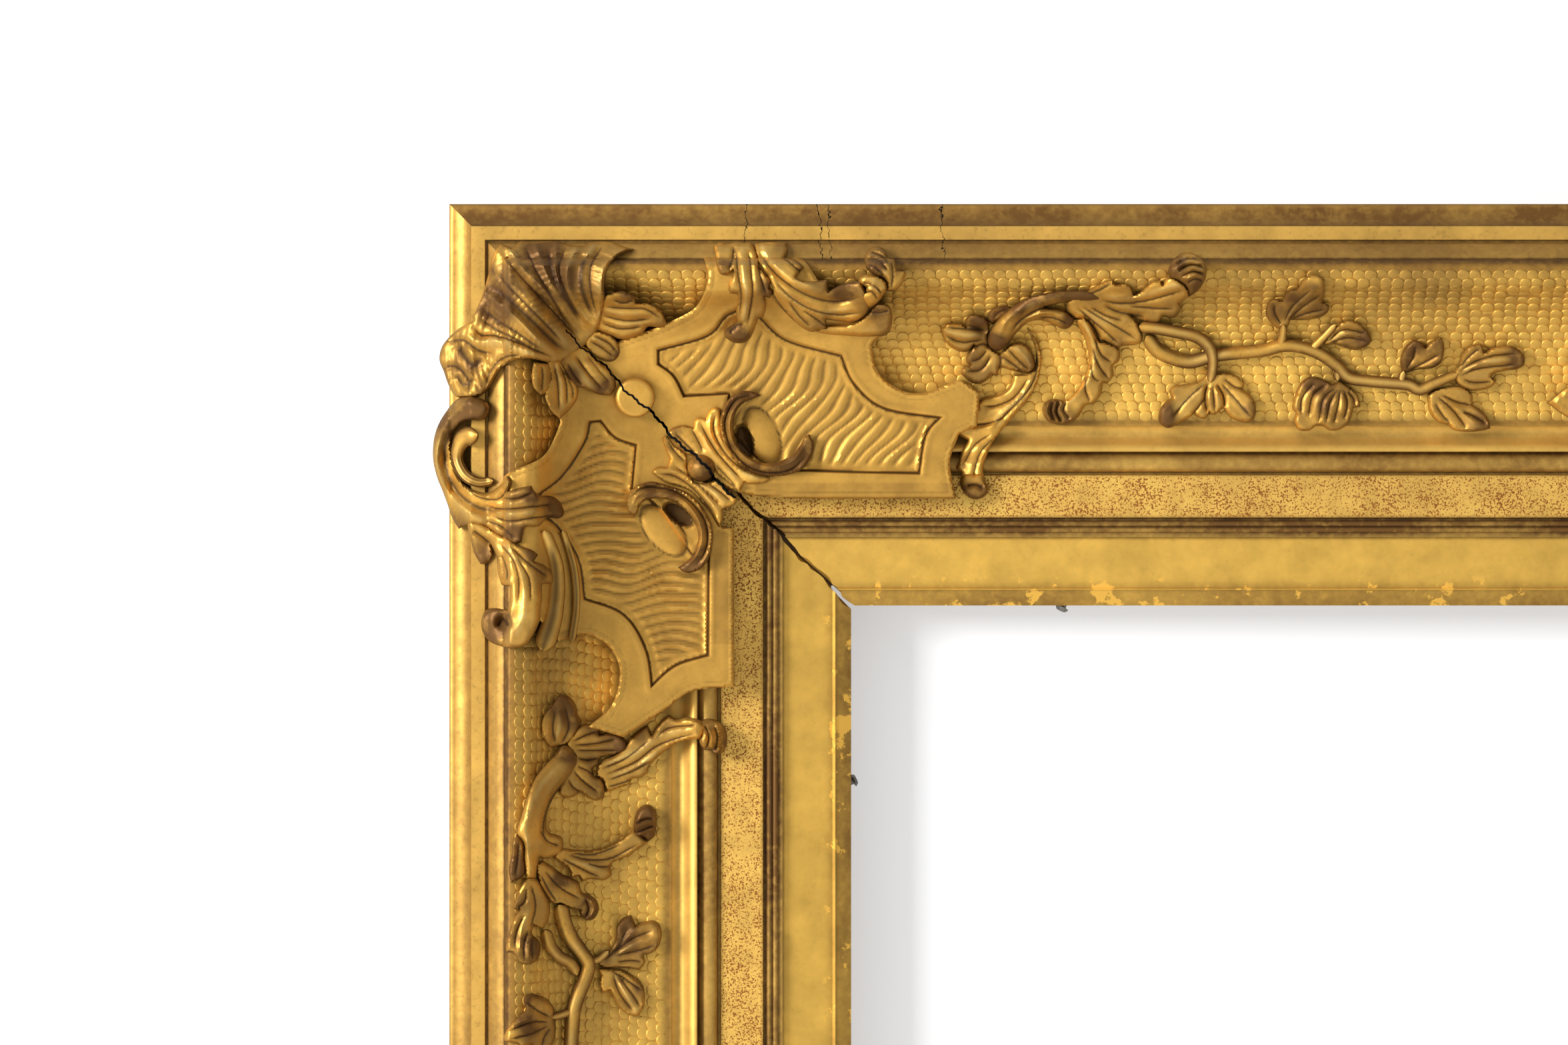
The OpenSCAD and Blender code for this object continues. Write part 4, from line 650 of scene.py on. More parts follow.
     [(4, 0.8, [800,790, 920,880, 1010,960])], {"edge": 6}),
]
RAIL_VINES = [
    [1716,506,11,18, 1738,530,11,20, 1780,543,11,20, 1822,534,10,20, 1889,527,10,21, 1919,520,10,22,
     1945,522,9,22, 1975,532,9,22, 2001,549,9,21, 2020,567,9,20, 2047,572,9,20, 2080,575,9,20, 2110,578,9,20,
     2127,585,9,20, 2150,575,8,20, 2182,562,7,18],
    [1704,492,8,22, 1731,495,9,26, 1764,501,9,28, 1792,508,9,28, 1810,523,9,28, 1816,543,8,26, 1815,562,7,22,
     1812,574,6,18],
    [1917,520,7,20, 1919,502,6,20, 1919,490,6,18],
    [1962,526,6,18, 1980,508,6,20, 1996,490,6,16],
    [2004,556,7,18, 2003,572,6,16],
    [2098,574,6,18, 2102,558,6,16],
]
STILE_SPRAY = [
    ("stile", [310,302, 270,302, 233,240, 223,170, 240,110, 280,60, 320,4, 370,8, 412,60, 427,120, 446,160,
      420,220, 375,285],
     [330,40,8,1, 260,200,6,0.3, 380,140,7,0.8, 320,280,5,0.4],
     [(4, 1.6, [300,280, 285,190, 300,90]), (4, 1.4, [330,290, 375,190, 350,60])],
     [(3, 0.9, [310,250, 330,160, 320,80])], {"edge": 6}),
    ("stile", [360,292, 400,230, 450,180, 550,176, 552,235, 620,228, 682,250, 708,290, 697,332, 640,357,
      560,372, 550,380, 545,410, 510,437, 520,480, 562,500, 582,560, 572,612, 530,624, 480,602, 440,572,
      390,602, 340,592, 318,560, 340,510, 385,430, 410,370],
     [420,280,6,0.3, 530,210,7,0.9, 520,280,6.5,0.4, 690,300,8,1, 600,340,6,0.6, 520,400,5.5,0.7,
      430,450,6,0.3, 550,570,7,0.7, 370,560,6,0.5],
     [(3, 1.4, [400,275, 470,240, 545,215]), (3, 1.4, [400,295, 520,290, 660,262]),
      (3, 1.3, [410,325, 540,330, 680,330]), (3, 1.8, [420,370, 480,385, 550,375]),
      (3, 1.4, [400,440, 450,500, 550,580]), (3, 1.3, [370,490, 400,540, 470,590]),
      (3, 1.3, [420,420, 480,445, 520,480])],
     [], {"edge": 6}),
    ("stile", [303,345, 330,300, 372,298, 412,340, 422,400, 382,470, 330,540, 288,600, 255,680, 248,760,
      262,800, 330,828, 342,870, 330,920, 260,950, 212,940, 202,1000, 192,1062, 140,1062, 128,950, 128,860,
      88,790, 110,700, 140,600, 188,480, 250,400],
     [370,340,11,0.9, 320,430,12,0.4, 220,560,11,0.5, 170,700,10,0.4, 180,850,9,0.3, 300,880,8,0.5,
      160,1020,7.5,0.3],
     [(3, 1.8, [350,500, 270,620, 235,740, 240,830]), (3, 1.4, [215,780, 260,850, 330,880])],
     [(4, 1.2, [340,400, 240,510, 170,640, 143,760, 150,900, 165,1010]),
      (3, 0.8, [260,780, 300,830, 335,860])], {"edge": 11}),
    ("stile", [540,425, 580,380, 640,358, 700,300, 740,248, 800,200, 830,183, 857,242, 880,198, 920,150,
      960,128, 1000,150, 1060,138, 1130,153, 1180,190, 1145,262, 1090,267, 1000,292, 920,345, 840,425,
      832,462, 790,492, 740,500, 722,532, 660,552, 588,578, 570,510, 530,480],
     [600,430,6,0.3, 700,380,6.5,0.2, 810,240,6.5,0.7, 940,180,7,0.6, 1000,220,7.5,0.3, 1120,200,9.5,0.4,
      800,450,5.5,0.4, 650,530,5,0.4, 880,330,6.5,0.3],
     [(3, 1.2, [560,440, 700,380, 850,265]), (3, 1.2, [580,475, 760,400, 900,300, 1120,225]),
      (3, 1.1, [600,505, 740,455, 850,395]), (3, 1.1, [880,255, 960,200, 1130,180]),
      (3, 1, [600,545, 690,520, 740,500])],
     [(4, 0.9, [600,410, 760,340, 900,245, 1080,200]), (4, 0.8, [620,490, 760,430, 880,350])], {}),
    ("stile", [1128,170, 1180,148, 1242,163, 1284,210, 1296,270, 1278,342, 1230,358, 1200,332, 1158,327,
      1133,280, 1142,230],
     [1160,180,9,1, 1200,250,11.5,0.7, 1260,240,10.5,0.9, 1240,330,9,0.9],
     [(3, 1.8, [1165,180, 1190,250, 1175,325]), (3, 1.8, [1215,170, 1240,250, 1225,345])],
     [(2.5, 1.6, [1180,185, 1210,250, 1200,325]), (2.5, 1.4, [1240,195, 1264,250, 1258,310])], {"edge": 11}),
    ("stile", [330,898, 420,910, 520,912, 600,890, 680,850, 750,785, 835,870, 760,922, 720,952, 640,982,
      614,1010, 622,1062, 580,1090, 500,1082, 450,1097, 430,1060, 385,1075, 380,1020, 320,970, 288,940],
     [360,930,6,0.4, 520,950,6,0.6, 760,850,8.5,0.5, 600,1040,5.5,0.6, 440,1060,5.5,0.3],
     [(3, 1.2, [360,930, 480,965, 620,960, 790,870]), (3, 1.2, [330,950, 450,1020, 560,1075]),
      (3, 1, [380,925, 520,935, 680,880]), (3, 1, [480,990, 560,1010, 615,1010])],
     [(3, 0.9, [350,905, 520,918, 640,882, 740,800]), (4, 0.8, [400,970, 520,1010, 600,1050])], {}),
    ("stile", [748,790, 760,710, 790,663, 840,652, 877,690, 882,760, 872,832, 840,864, 800,842, 758,832],
     [800,690,10,1, 820,770,11,0.9, 830,840,9,0.9],
     [(2.5, 1.8, [762,762, 815,735, 870,730]), (2.5, 1.8, [762,815, 825,790, 872,770])],
     [(2.5, 1.6, [758,785, 810,760, 868,745]), (2.5, 1.4, [785,825, 830,800, 862,785])], {"edge": 9}),
    ("stile", [192,980, 230,962, 280,1000, 340,1048, 387,1070, 430,1100, 450,1158, 490,1173, 532,1208,
      547,1260, 522,1312, 480,1322, 438,1290, 440,1262, 370,1242, 330,1220, 290,1215, 250,1170, 210,1090],
     [240,1030,6.5,0.3, 330,1070,6.5,0.9, 300,1170,6,0.4, 400,1180,6.5,0.5, 500,1250,9.5,1],
     [(3, 1.3, [240,1020, 330,1125, 450,1200]), (3, 1.3, [220,1040, 260,1130, 310,1210]),
      (2.5, 1.6, [470,1190, 490,1250, 470,1310])],
     [(2.5, 1.5, [500,1190, 520,1250, 500,1300])], {"edge": 6}),
    ("stile", [140,1060, 192,1060, 232,1130, 267,1220, 262,1300, 232,1362, 180,1328, 170,1380, 212,1440,
      207,1522, 160,1555, 100,1542, 60,1482, 18,1482, 30,1400, 60,1310, 100,1235, 63,1232, 90,1140],
     [170,1100,7,0.4, 90,1210,5.5,0.7, 230,1280,6.5,0.4, 160,1300,6.5,0.3, 60,1430,5.5,0.8, 160,1480,8.5,1],
     [(3, 1.3, [165,1090, 190,1220, 160,1350]), (3, 1.5, [140,1110, 130,1190, 85,1225]),
      (3, 1.3, [130,1260, 90,1350, 70,1460]), (3, 1.3, [150,1350, 130,1430, 130,1530]),
      (3, 1.3, [175,1390, 170,1450, 175,1530])],
     [(3, 0.8, [155,1240, 115,1340, 100,1480]), (3, 0.9, [165,1380, 155,1450, 155,1520])], {"edge": 5}),
    ("stile", [90,795, 125,850, 130,940, 128,1035, 50,1082, 38,1000, 58,900, 56,850],
     [80,860,5.5,0.7, 70,1020,5.5,1],
     [(3, 1.2, [95,840, 90,940, 75,1050])],
     [], {"edge": 5}),
    ("foot", [720,942, 800,912, 850,860, 880,790, 888,710, 930,650, 990,628, 1022,702, 1080,680, 1150,668,
      1197,710, 1207,790, 1182,860, 1130,902, 1080,912, 1087,970, 1052,1022, 1000,1010, 900,1000, 800,1000],
     [820,930,5.5,0.7, 950,720,6.5,0.9, 1100,720,7.5,0.6, 1180,760,8,0.9, 1120,870,7,0.8, 1040,980,6,0.5,
      900,960,5.5,0.5],
     [(4, 1.4, [800,945, 900,850, 975,700]), (4, 1.5, [850,910, 1000,795, 1150,735]),
      (4, 1.5, [870,915, 1040,880, 1170,840]), (3, 1.2, [890,960, 1000,950, 1075,965])],
     [(4, 0.9, [860,930, 1020,830, 1180,790]), (4, 0.7, [860,890, 950,800, 1030,720])], {"edge": 6}),
    ("foot", [750,1000, 850,1008, 930,1018, 1010,1068, 1072,1130, 1087,1200, 1082,1280, 1042,1352, 980,1342,
      910,1292, 870,1222, 842,1160, 790,1182, 768,1120, 773,1050],
     [790,1080,5.5,0.2, 900,1060,6,0.5, 960,1160,7,0.3, 1060,1150,6,0.8, 1040,1310,5.5,0.3],
     [(4, 1.4, [860,1040, 910,1180, 1010,1320]), (3, 1.3, [850,1020, 960,1090, 1075,1170]),
      (4, 1.3, [900,1060, 1000,1190, 1060,1290])],
     [(4, 0.8, [870,1040, 960,1190, 1030,1310])], {"edge": 6}),
    ("foot", [452,1330, 450,1270, 400,1200, 330,1163, 270,1158, 243,1190, 265,1260, 220,1298, 150,1370,
      103,1450, 110,1482, 200,1490, 240,1522, 300,1502, 330,1570, 400,1570, 452,1500, 462,1400],
     [300,1200,6,0.9, 370,1300,7,0.6, 160,1440,7,0.4, 280,1370,7.5,0.9, 400,1500,6,0.5],
     [(3, 1.5, [430,1330, 340,1270, 260,1200]), (3, 1.4, [420,1360, 300,1350, 150,1400]),
      (3, 1.3, [420,1385, 300,1430, 150,1460]), (3, 1.4, [430,1400, 380,1480, 370,1560])],
     [(3, 0.9, [410,1350, 290,1320, 180,1360])], {"edge": 6}),
]
STILE_VINES = [
    [842,1352,12,18, 851,1386,12,22, 861,1407,12,24, 876,1428,11,24, 884,1443,11,24, 880,1462,11,23,
     870,1487,11,22, 863,1510,11,22, 861,1531,11,22, 859,1568,11,22, 862,1640,10,22, 876,1704,10,22,
     856,1780,9,18],
    [822,1388,9,16, 828,1410,9,20, 840,1428,9,20, 858,1441,9,18, 868,1458,8,14],
    [884,1440,7,16, 900,1436,6,18, 914,1424,6,16],
    [860,1512,7,16, 846,1516,6,18, 832,1519,6,16],
]
# Below the photograph's last row the spray goes on in the same way
STILE_LEAVES = [
    [862,1662,12,16, 934,1610,28,16],
    [864,1742,12,16, 792,1746,28,16],
    [858,1770,15,18, 850,1850,28,18],
]
PLATE_OUTLINE = [880,540, 1000,489, 1046,464, 1063,426, 1058,395, 1046,373, 1180,378, 1240,440, 1322,470,
                 1322,500, 1306,520, 1314,556, 1340,581, 1380,591, 1440,570, 1468,590, 1464,640, 1437,652,
                 1424,694, 1433,748, 1136,744, 1052,702, 1075,780, 1101,793, 1101,1029, 1040,1036, 1003,1060,
                 936,1104, 885,1088, 920,1055, 931,1004, 914,968, 880,950, 843,960, 808,915, 800,860, 760,800,
                 752,722, 774,708, 820,686, 843,640, 846,620]
FIELD_RIGHT = [986,526, 1061,504, 1092,474, 1130,470, 1179,510, 1263,534, 1282,575, 1326,611, 1413,626,
               1390,655, 1380,713, 1223,709, 1150,700, 1085,640, 1092,594, 1025,598, 1009,567, 986,549]
FIELD_LEFT = [885,632, 904,630, 926,655, 958,667, 952,732, 990,760, 1040,830, 1066,800, 1065,984, 1015,1000,
              977,1032, 967,974, 935,923, 877,899, 868,840, 839,793, 812,770, 812,741, 846,712, 877,663]
TRUMPETS = [
    [822,796,9,10, 838,850,13,14, 836,912,15,16, 820,972,19,16],
    [848,796,5,10, 864,850,6,12, 868,905,6,12, 861,960,6,10],
]
CENTRE_OUTLINE = [2318,605, 2350,580, 2402,556, 2440,512, 2478,452, 2540,412, 2600,392, 2633,388, 2633,752,
                  2560,744, 2490,700, 2420,656, 2356,630]
CENTRE_FIELD = [2420,604, 2460,560, 2500,490, 2560,446, 2633,430, 2633,716, 2576,704, 2500,664]
CENTRE_TUBE = [2516,560,13,24, 2466,546,13,24, 2446,612,13,24, 2500,640,12,22]
CENTRE_RIBS = [
    [2628,650,8,22, 2622,520,18,24, 2618,376,22,18],
    [2622,654,8,20, 2586,540,17,20, 2556,408,22,14],
    [2616,658,8,22, 2560,566,14,22, 2508,458,17,16],
    [2612,664,12,20, 2572,696,24,16],
]


def flowing(points, step=3.0, turn=48.0):
    """A closed outline through points: smooth where it bends, sharp where it turns hard."""
    p = np.array(points, float).reshape(-1, 2)
    n = len(p)
    before, after = p - np.roll(p, 1, axis=0), np.roll(p, -1, axis=0) - p
    cross = before[:, 0] * after[:, 1] - before[:, 1] * after[:, 0]
    bend = np.degrees(np.abs(np.arctan2(cross, np.sum(before * after, axis=1))))
    out = []
    for i in range(n):
        b, c = p[i], p[(i + 1) % n]
        a = 2 * b - c if bend[i] > turn else p[i - 1]
        d = 2 * c - b if bend[(i + 1) % n] > turn else p[(i + 2) % n]
        out.append(curve(a, b, c, d, step))
    return np.vstack(out)


def inside(points, outline):
    """Which of the points lie within a closed outline."""
    x, y = points[:, 0], points[:, 1]
    a, b = outline, np.roll(outline, -1, axis=0)
    hit = np.zeros(len(points), bool)
    for (ax, ay), (bx, by) in zip(a, b):
        if ay != by:
            cross = ((ay > y) != (by > y)) & (x < (bx - ax) * (y - ay) / (by - ay) + ax)
            hit ^= cross
    return hit


def edge_distance(points, outline):
    """Distance of each of the points from a closed outline."""
    best = np.full(len(points), 1e9)
    for a, b in zip(outline, np.roll(outline, -1, axis=0)):
        d = b - a
        t = np.clip((points - a) @ d / max(d @ d, 1e-9), 0, 1)
        best = np.minimum(best, np.hypot(*(points - a - t[:, None] * d).T))
    return best


def in_ellipse(p, x, y, rx, ry, turn):
    """How far places p are from the middle of an ellipse, 1 on its rim."""
    a = math.radians(turn)
    dx, dy = p[:, 0] - x, p[:, 1] - y
    e = ((dx * math.cos(a) + dy * math.sin(a)) / rx) ** 2 + ((dy * math.cos(a) - dx * math.sin(a)) / ry) ** 2
    return np.sqrt(e)


def offset(line, d):
    """A closed outline moved inward by d."""
    area = np.sum(line[:, 0] * np.roll(line[:, 1], -1) - np.roll(line[:, 0], -1) * line[:, 1])
    run = np.roll(line, -1, axis=0) - np.roll(line, 1, axis=0)
    run /= np.maximum(np.hypot(*run.T), 1e-6)[:, None]
    inward = np.column_stack([-run[:, 1], run[:, 0]]) * (1 if area > 0 else -1)
    return line + inward * d


def crack_place(p):
    """Run along the open joint and distance from its middle over its half width, of places p."""
    rel = (p[:, :2] - CRACK_FROM) * MM_PX
    s = rel @ CRACK_WAY
    off, half = crack_line(s)
    return s, (rel @ CRACK_SIDE - off) / half


def crack_edges():
    """Lines along both lips of the open joint and along its floor, in picture pixels."""
    s = np.arange(0.0, CRACK_LONG, 1.1)
    off, half = crack_line(s)
    out = []
    for k in (-1.0, -0.8, 0.8, 1.0):
        t = off + half * k * np.clip(s / 5, 0.02, 1)
        mm = s[:, None] * CRACK_WAY + t[:, None] * CRACK_SIDE
        out.append(CRACK_FROM + mm / MM_PX)
    return out


def line_distance(points, line):
    """Distance of each of the points from an open line, and the share of the line's run where it is met."""
    best, where = np.full(len(points), 1e9), np.zeros(len(points))
    steps = np.hypot(*np.diff(line, axis=0).T)
    run = np.append(0, np.cumsum(steps)) / max(steps.sum(), 1e-6)
    for i, (a, b) in enumerate(zip(line[:-1], line[1:])):
        d = b - a
        t = np.clip((points - a) @ d / max(d @ d, 1e-9), 0, 1)
        far = np.hypot(*(points - a - t[:, None] * d).T)
        near = far < best
        best = np.where(near, far, best)
        where = np.where(near, run[i] + t * (run[i + 1] - run[i]), where)
    return best, where


def sheet(rim, groups, grid):
    """Triangles over an outline that keep to the lines in groups, each (line, closed)."""
    groups = [(rim, True)] + groups
    low, high = rim.min(axis=0), rim.max(axis=0)
    gx, gy = np.meshgrid(np.arange(low[0], high[0], grid), np.arange(low[1], high[1], grid * 0.87))
    gx[1::2] += grid / 2
    dots = np.column_stack([gx.ravel(), gy.ravel()])
    dots = dots[inside(dots, rim)]
    for line, ring in groups:
        far = edge_distance(dots, line) if ring else line_distance(dots, line)[0]
        dots = dots[far > grid * 0.45]
    verts = [Vector(p) for group, _ in groups for p in group] + [Vector(p) for p in dots]
    edges, start = [], 0
    for group, ring in groups:
        n = len(group)
        edges += [(start + i, start + (i + 1) % n) for i in range(n if ring else n - 1)]
        start += n
    out = geometry.delaunay_2d_cdt(verts, edges, [list(range(len(rim)))], 1, 1e-4)
    new_id = {old: i for i, group in enumerate(out[3]) for old in group}
    places, tris = np.array([tuple(v) for v in out[0]]), [list(f) for f in out[2]]
    return places, tris, [new_id[i] for i in range(len(rim))]


def close_sheet(carving, rim, p, tris, ids, h, marks):
    """Gives a relief its sides and its hidden underside, just inside the ground it stands on."""
    h = np.minimum(h, TOP_MOST)
    low = np.minimum(bed_height(p), h - 0.5) - SUNK
    a, b, c = (p[i] for i in tris[0])
    turn = (b[0] - a[0]) * (c[1] - a[1]) - (b[1] - a[1]) * (c[0] - a[0])
    area = np.sum(rim[:, 0] * np.roll(rim[:, 1], -1) - np.roll(rim[:, 0], -1) * rim[:, 1])
    under = [[i + len(p) for i in f[::-1]] for f in tris]
    skirt = [[ids[i], ids[(i + 1) % len(ids)], ids[(i + 1) % len(ids)] + len(p), ids[i] + len(p)]
             for i in range(len(ids))]
    if (turn > 0) == (area > 0):
        skirt = [f[::-1] for f in skirt]
    # The sides and underside are marked as the foot, lift 0 and full crease, which the patina paints dark as
    # shade
    marks = np.vstack([marks, np.tile([0.0, 1.0, 0.0], (len(p), 1))])
    carving.add(np.vstack([np.column_stack([p, h]), np.column_stack([p, low])]), tris + under + skirt, marks)


# Hollows inside the crescents, painted dark as shade, and the smooth dishes beside them, in picture pixels:
# middle, two half sizes, turn in degrees
EYES = [[1117, 664, 12, 25, -12], [1019, 772, 25, 12, 35]]
DISHES = [[1143, 655, 24, 44, -22], [996, 796, 44, 24, 50]]
# Duller parts of the corner plate: left, top, right, bottom in picture pixels, share of brown
DULL_BANDS = [[1130, 722, 1440, 760, 0.95], [1066, 792, 1140, 970, 0.75], [1240, 600, 1420, 640, 0.6],
              [800, 940, 860, 990, 0.8]]
# The plate's sunk fields: width of the slope into them, and where their bead runs, in picture pixels
SLOPE, BEAD_AT, BEAD_WIDE = 2.6, 6.5, 2.6
DEEP_WAVE, SHALLOW_WAVE = 1.5, 0.8


def relief(carving, outline, fields, grid=3.7, cracked=False, eyes=()):
    """A strapwork plate on an outline: flat bands, and fields sunk into it, each (outline, wave, its
    height), with a bead round them. Eyes are hollows painted dark as shade, which come with their dishes
    and dull bands."""
    rim = flowing(outline, grid)
    lines = [(flowing(f, grid), wave, tall) for f, wave, tall in fields]
    groups = [(line, True) for line, _, _ in lines] + [(offset(line, SLOPE), True) for line, _, _ in lines]
    if cracked:
        groups += [(line, False) for line in crack_edges()]
    p, tris, ids = sheet(rim, groups, grid)
    h = plate_height(p)
    crease = np.zeros(len(p))
    lift = np.full(len(p), 0.6)
    tip = np.full(len(p), 0.4)
    calm = np.ones(len(p))
    for dish in DISHES if eyes else []:
        calm = calm * np.clip((in_ellipse(p, *dish) - 0.95) / 0.4, 0, 1)
    for line, wave, tall in lines:
        d = edge_distance(p, line)
        ins = inside(p, line) | (d < 0.01)
        h = h - np.clip(d / SLOPE, 0, 1) * ins * (BORDER_RISE - 0.4)
        crest = 0.5 + 0.5 * np.cos(2 * math.pi * wave(p))
        wide = np.clip((d - 9) / 9, 0, 1) * ins * calm
        h = h + crest ** 1.5 * wide * (0.95 + 0.3 * wobble(p, 26.0)) * tall
        bead = np.exp(-((d - BEAD_AT) / BEAD_WIDE) ** 2) * ins * calm
        h = h + bead * 0.9
        # Painted shade in the step down into each field and in the wave troughs; crests and bead get a higher
        # lift, which the patina turns brighter gold, partly worn gilding and partly painted highlight
        crease = np.maximum(crease, ins * np.clip(1 - np.abs(d - SLOPE) / SLOPE, 0, 1) * 0.95)
        crease = np.maximum(crease, (1 - crest) ** 3 * wide * 0.62)
        lift = np.where(ins, 0.5 + 0.35 * crest ** 2 * wide + 0.3 * bead, lift)
        h = h + np.exp(-((d - 4.5) / 2.4) ** 2) * ~ins * 0.4
    if eyes:
        for dish in DISHES:
            e = in_ellipse(p, *dish)
            h = h + 2.6 * np.clip(1 - e ** 2, 0, 1) ** 0.6
            # Painted shade round the rim of each dish
            crease = np.maximum(crease * (e > 1), np.exp(-((e - 1.03) / 0.07) ** 2) * 0.8)
        for eye in eyes:
            e = in_ellipse(p, *eye)
            deep = np.clip((1.12 - e) / 0.25, 0, 1)
            h = h - deep * 5.0
            # The eye's hollow is painted dark as shade
            crease = np.maximum(crease, deep)
            lift = lift * (1 - deep)
        for x0, y0, x1, y1, share in DULL_BANDS:
            out = np.maximum(np.maximum(x0 - p[:, 0], p[:, 0] - x1), np.maximum(y0 - p[:, 1], p[:, 1] - y1))
            tip = np.maximum(tip, share * np.clip(-out / 5, 0, 1) * (lift <= 0.61))
    outer = edge_distance(p, rim)
    h = h - np.clip(1 - outer / 3.5, 0, 1) ** 2 * 1.3
    h = h - np.exp(-((outer - 9.5) / 1.8) ** 2) * 0.25
    # Painted shade along the groove near the rim
    crease = np.maximum(crease, np.exp(-((outer - 9.5) / 1.5) ** 2) * 0.35)
    h = h + 0.12 * wobble(p, 14.0, 0.8)
    if cracked:
        s, t = crack_place(p)
        split = (np.abs(t) < 0.9) & (s > 1) & (s < CRACK_LONG + 5)
        h = np.where(split, np.minimum(h, bed_height(p) + 0.3), h)
        # The floor of the split is painted dark as the shade deep in the joint
        crease = np.where(split, 1.0, crease)
        lift = np.where(split, 0.0, lift)
    close_sheet(carving, rim, p, tris, ids, h, np.column_stack([lift, crease, tip]))


def seen(view, numbers, columns=2):
    """Places read off an enlarged part of the photograph, as picture pixels; more columns are kept."""
    rows = np.array(numbers, float).reshape(-1, columns)
    x0, y0, zoom = VIEWS[view]
    rows[:, :2] = rows[:, :2] / zoom + [x0, y0]
    return rows


def blend(p, rows, column):
    """A value over places p, eased between those of rows [x, y, ...]."""
    d2 = ((p[:, None, :] - rows[None, :, :2]) ** 2).sum(axis=2) + 6.0
    w = d2 ** -1.3
    return (w * rows[:, column][None, :]).sum(axis=1) / w.sum(axis=1)


def mass(carving, view, outline, tops, grooves, ridges, raised, edge=7.0, ripple=None, grid=3.0):
    """A carved mass on an outline. Tops are [x, y, mm above the ground, share of brown]. Grooves and
    ridges are (width in picture pixels, mm, line), and fade out at both ends. A ripple is [x, y, its length
    in picture pixels, mm]."""
    rim = flowing(seen(view, outline), grid, 62.0)
    tops = seen(view, tops, 4)
    cuts = [(wide, deep, spline(seen(view, line), 4.0)) for wide, deep, line in grooves]
    bars = [(wide, high, spline(seen(view, line), 4.0)) for wide, high, line in ridges]
    groups = []
    for _, _, g in cuts + bars:
        inner = g[inside(g, rim) & (edge_distance(g, rim) > 1.2)]
        if len(inner) > 2 and np.hypot(*np.diff(inner, axis=0).T).max() < 12:
            groups.append((inner, False))
    p, tris, ids = sheet(rim, groups, grid)
    d = edge_distance(p, rim)
    dome = 0.42 + 0.58 * np.sqrt(np.clip(1 - (1 - np.clip(d / edge, 0, 1)) ** 2, 0, 1))
    rise = blend(p, tops, 2) * dome
    brown = blend(p, tops, 3)
    # Painted shade: a dark line round the outline, darker edges through their low lift, and dark grooves and
    # ripple troughs; ridges get a higher lift that shows as brighter gold, partly worn gilding and partly
    # painted highlight
    crease = np.exp(-(d / 1.6) ** 2) * 0.35
    lift = 0.25 + 0.55 * np.clip(d / edge, 0, 1) ** 0.7
    for wide, deep, line in cuts:
        far, share = line_distance(p, line)
        fade = np.clip(np.minimum(share, 1 - share) * 7, 0, 1) ** 0.7
        rise = rise - deep * fade * np.exp(-(far / wide) ** 2)
        crease = np.maximum(crease, np.exp(-(far / (wide * 0.5)) ** 2) * fade * min(deep, 1) * 0.85)
        lift = lift - 0.25 * np.exp(-(far / wide) ** 2) * fade
    for wide, high, line in bars:
        far, share = line_distance(p, line)
        fade = np.clip(np.minimum(share, 1 - share) * 6 + 0.35, 0, 1)
        rise = rise + high * fade * np.exp(-(far / wide) ** 2)
        lift = lift + 0.45 * np.exp(-(far / (wide * 0.8)) ** 2) * fade
    if ripple:
        x, y = seen(view, ripple[:2])[0]
        r = np.hypot(p[:, 0] - x, p[:, 1] - y)
        wave = np.cos(2 * math.pi * r / ripple[2] + 1.2 * wobble(p, 30.0))
        soft = np.clip((r - 26) / 20, 0, 1) * np.clip(d / 8, 0, 1) * (0.6 + 0.4 * wobble(p, 17.0))
        rise = rise + ripple[3] * wave * soft
        crease = np.maximum(crease, np.clip(-wave - 0.3, 0, 1) * soft * 0.5)
    h = skin(p, raised) + np.maximum(rise, 0.4) + 0.1 * wobble(p, 5.0, 0.5)
    marks = np.clip(np.column_stack([lift, crease, brown]), 0, 1)
    close_sheet(carving, rim, p, tris, ids, h, marks)


def waves_left(p):
    """Phase of the waves of the left and centre fields, 1 from crest to crest."""
    x, y = p[:, 0], p[:, 1]
    return (y + 0.1 * x + 5.0 * np.sin(x / 19.0 - 0.4 + y / 160.0) + 1.6 * np.sin(y / 23.0 + x / 14.0)) / 14.5


# A place on the line at which the waves of the right field turn, in picture pixels
WAVE_TURN = (1100, 585)


def waves_right(p):
    """Phase of the waves of the right field, 1 from crest to crest."""
    x, y = p[:, 0], p[:, 1]
    past = y - (WAVE_TURN[1] + 0.35 * (x - WAVE_TURN[0]))
    return (x + 27.0 * np.tanh(past / 42.0) + 0.18 * past + 2.0 * np.sin(y / 9.0 + x / 30.0)) / 16.5


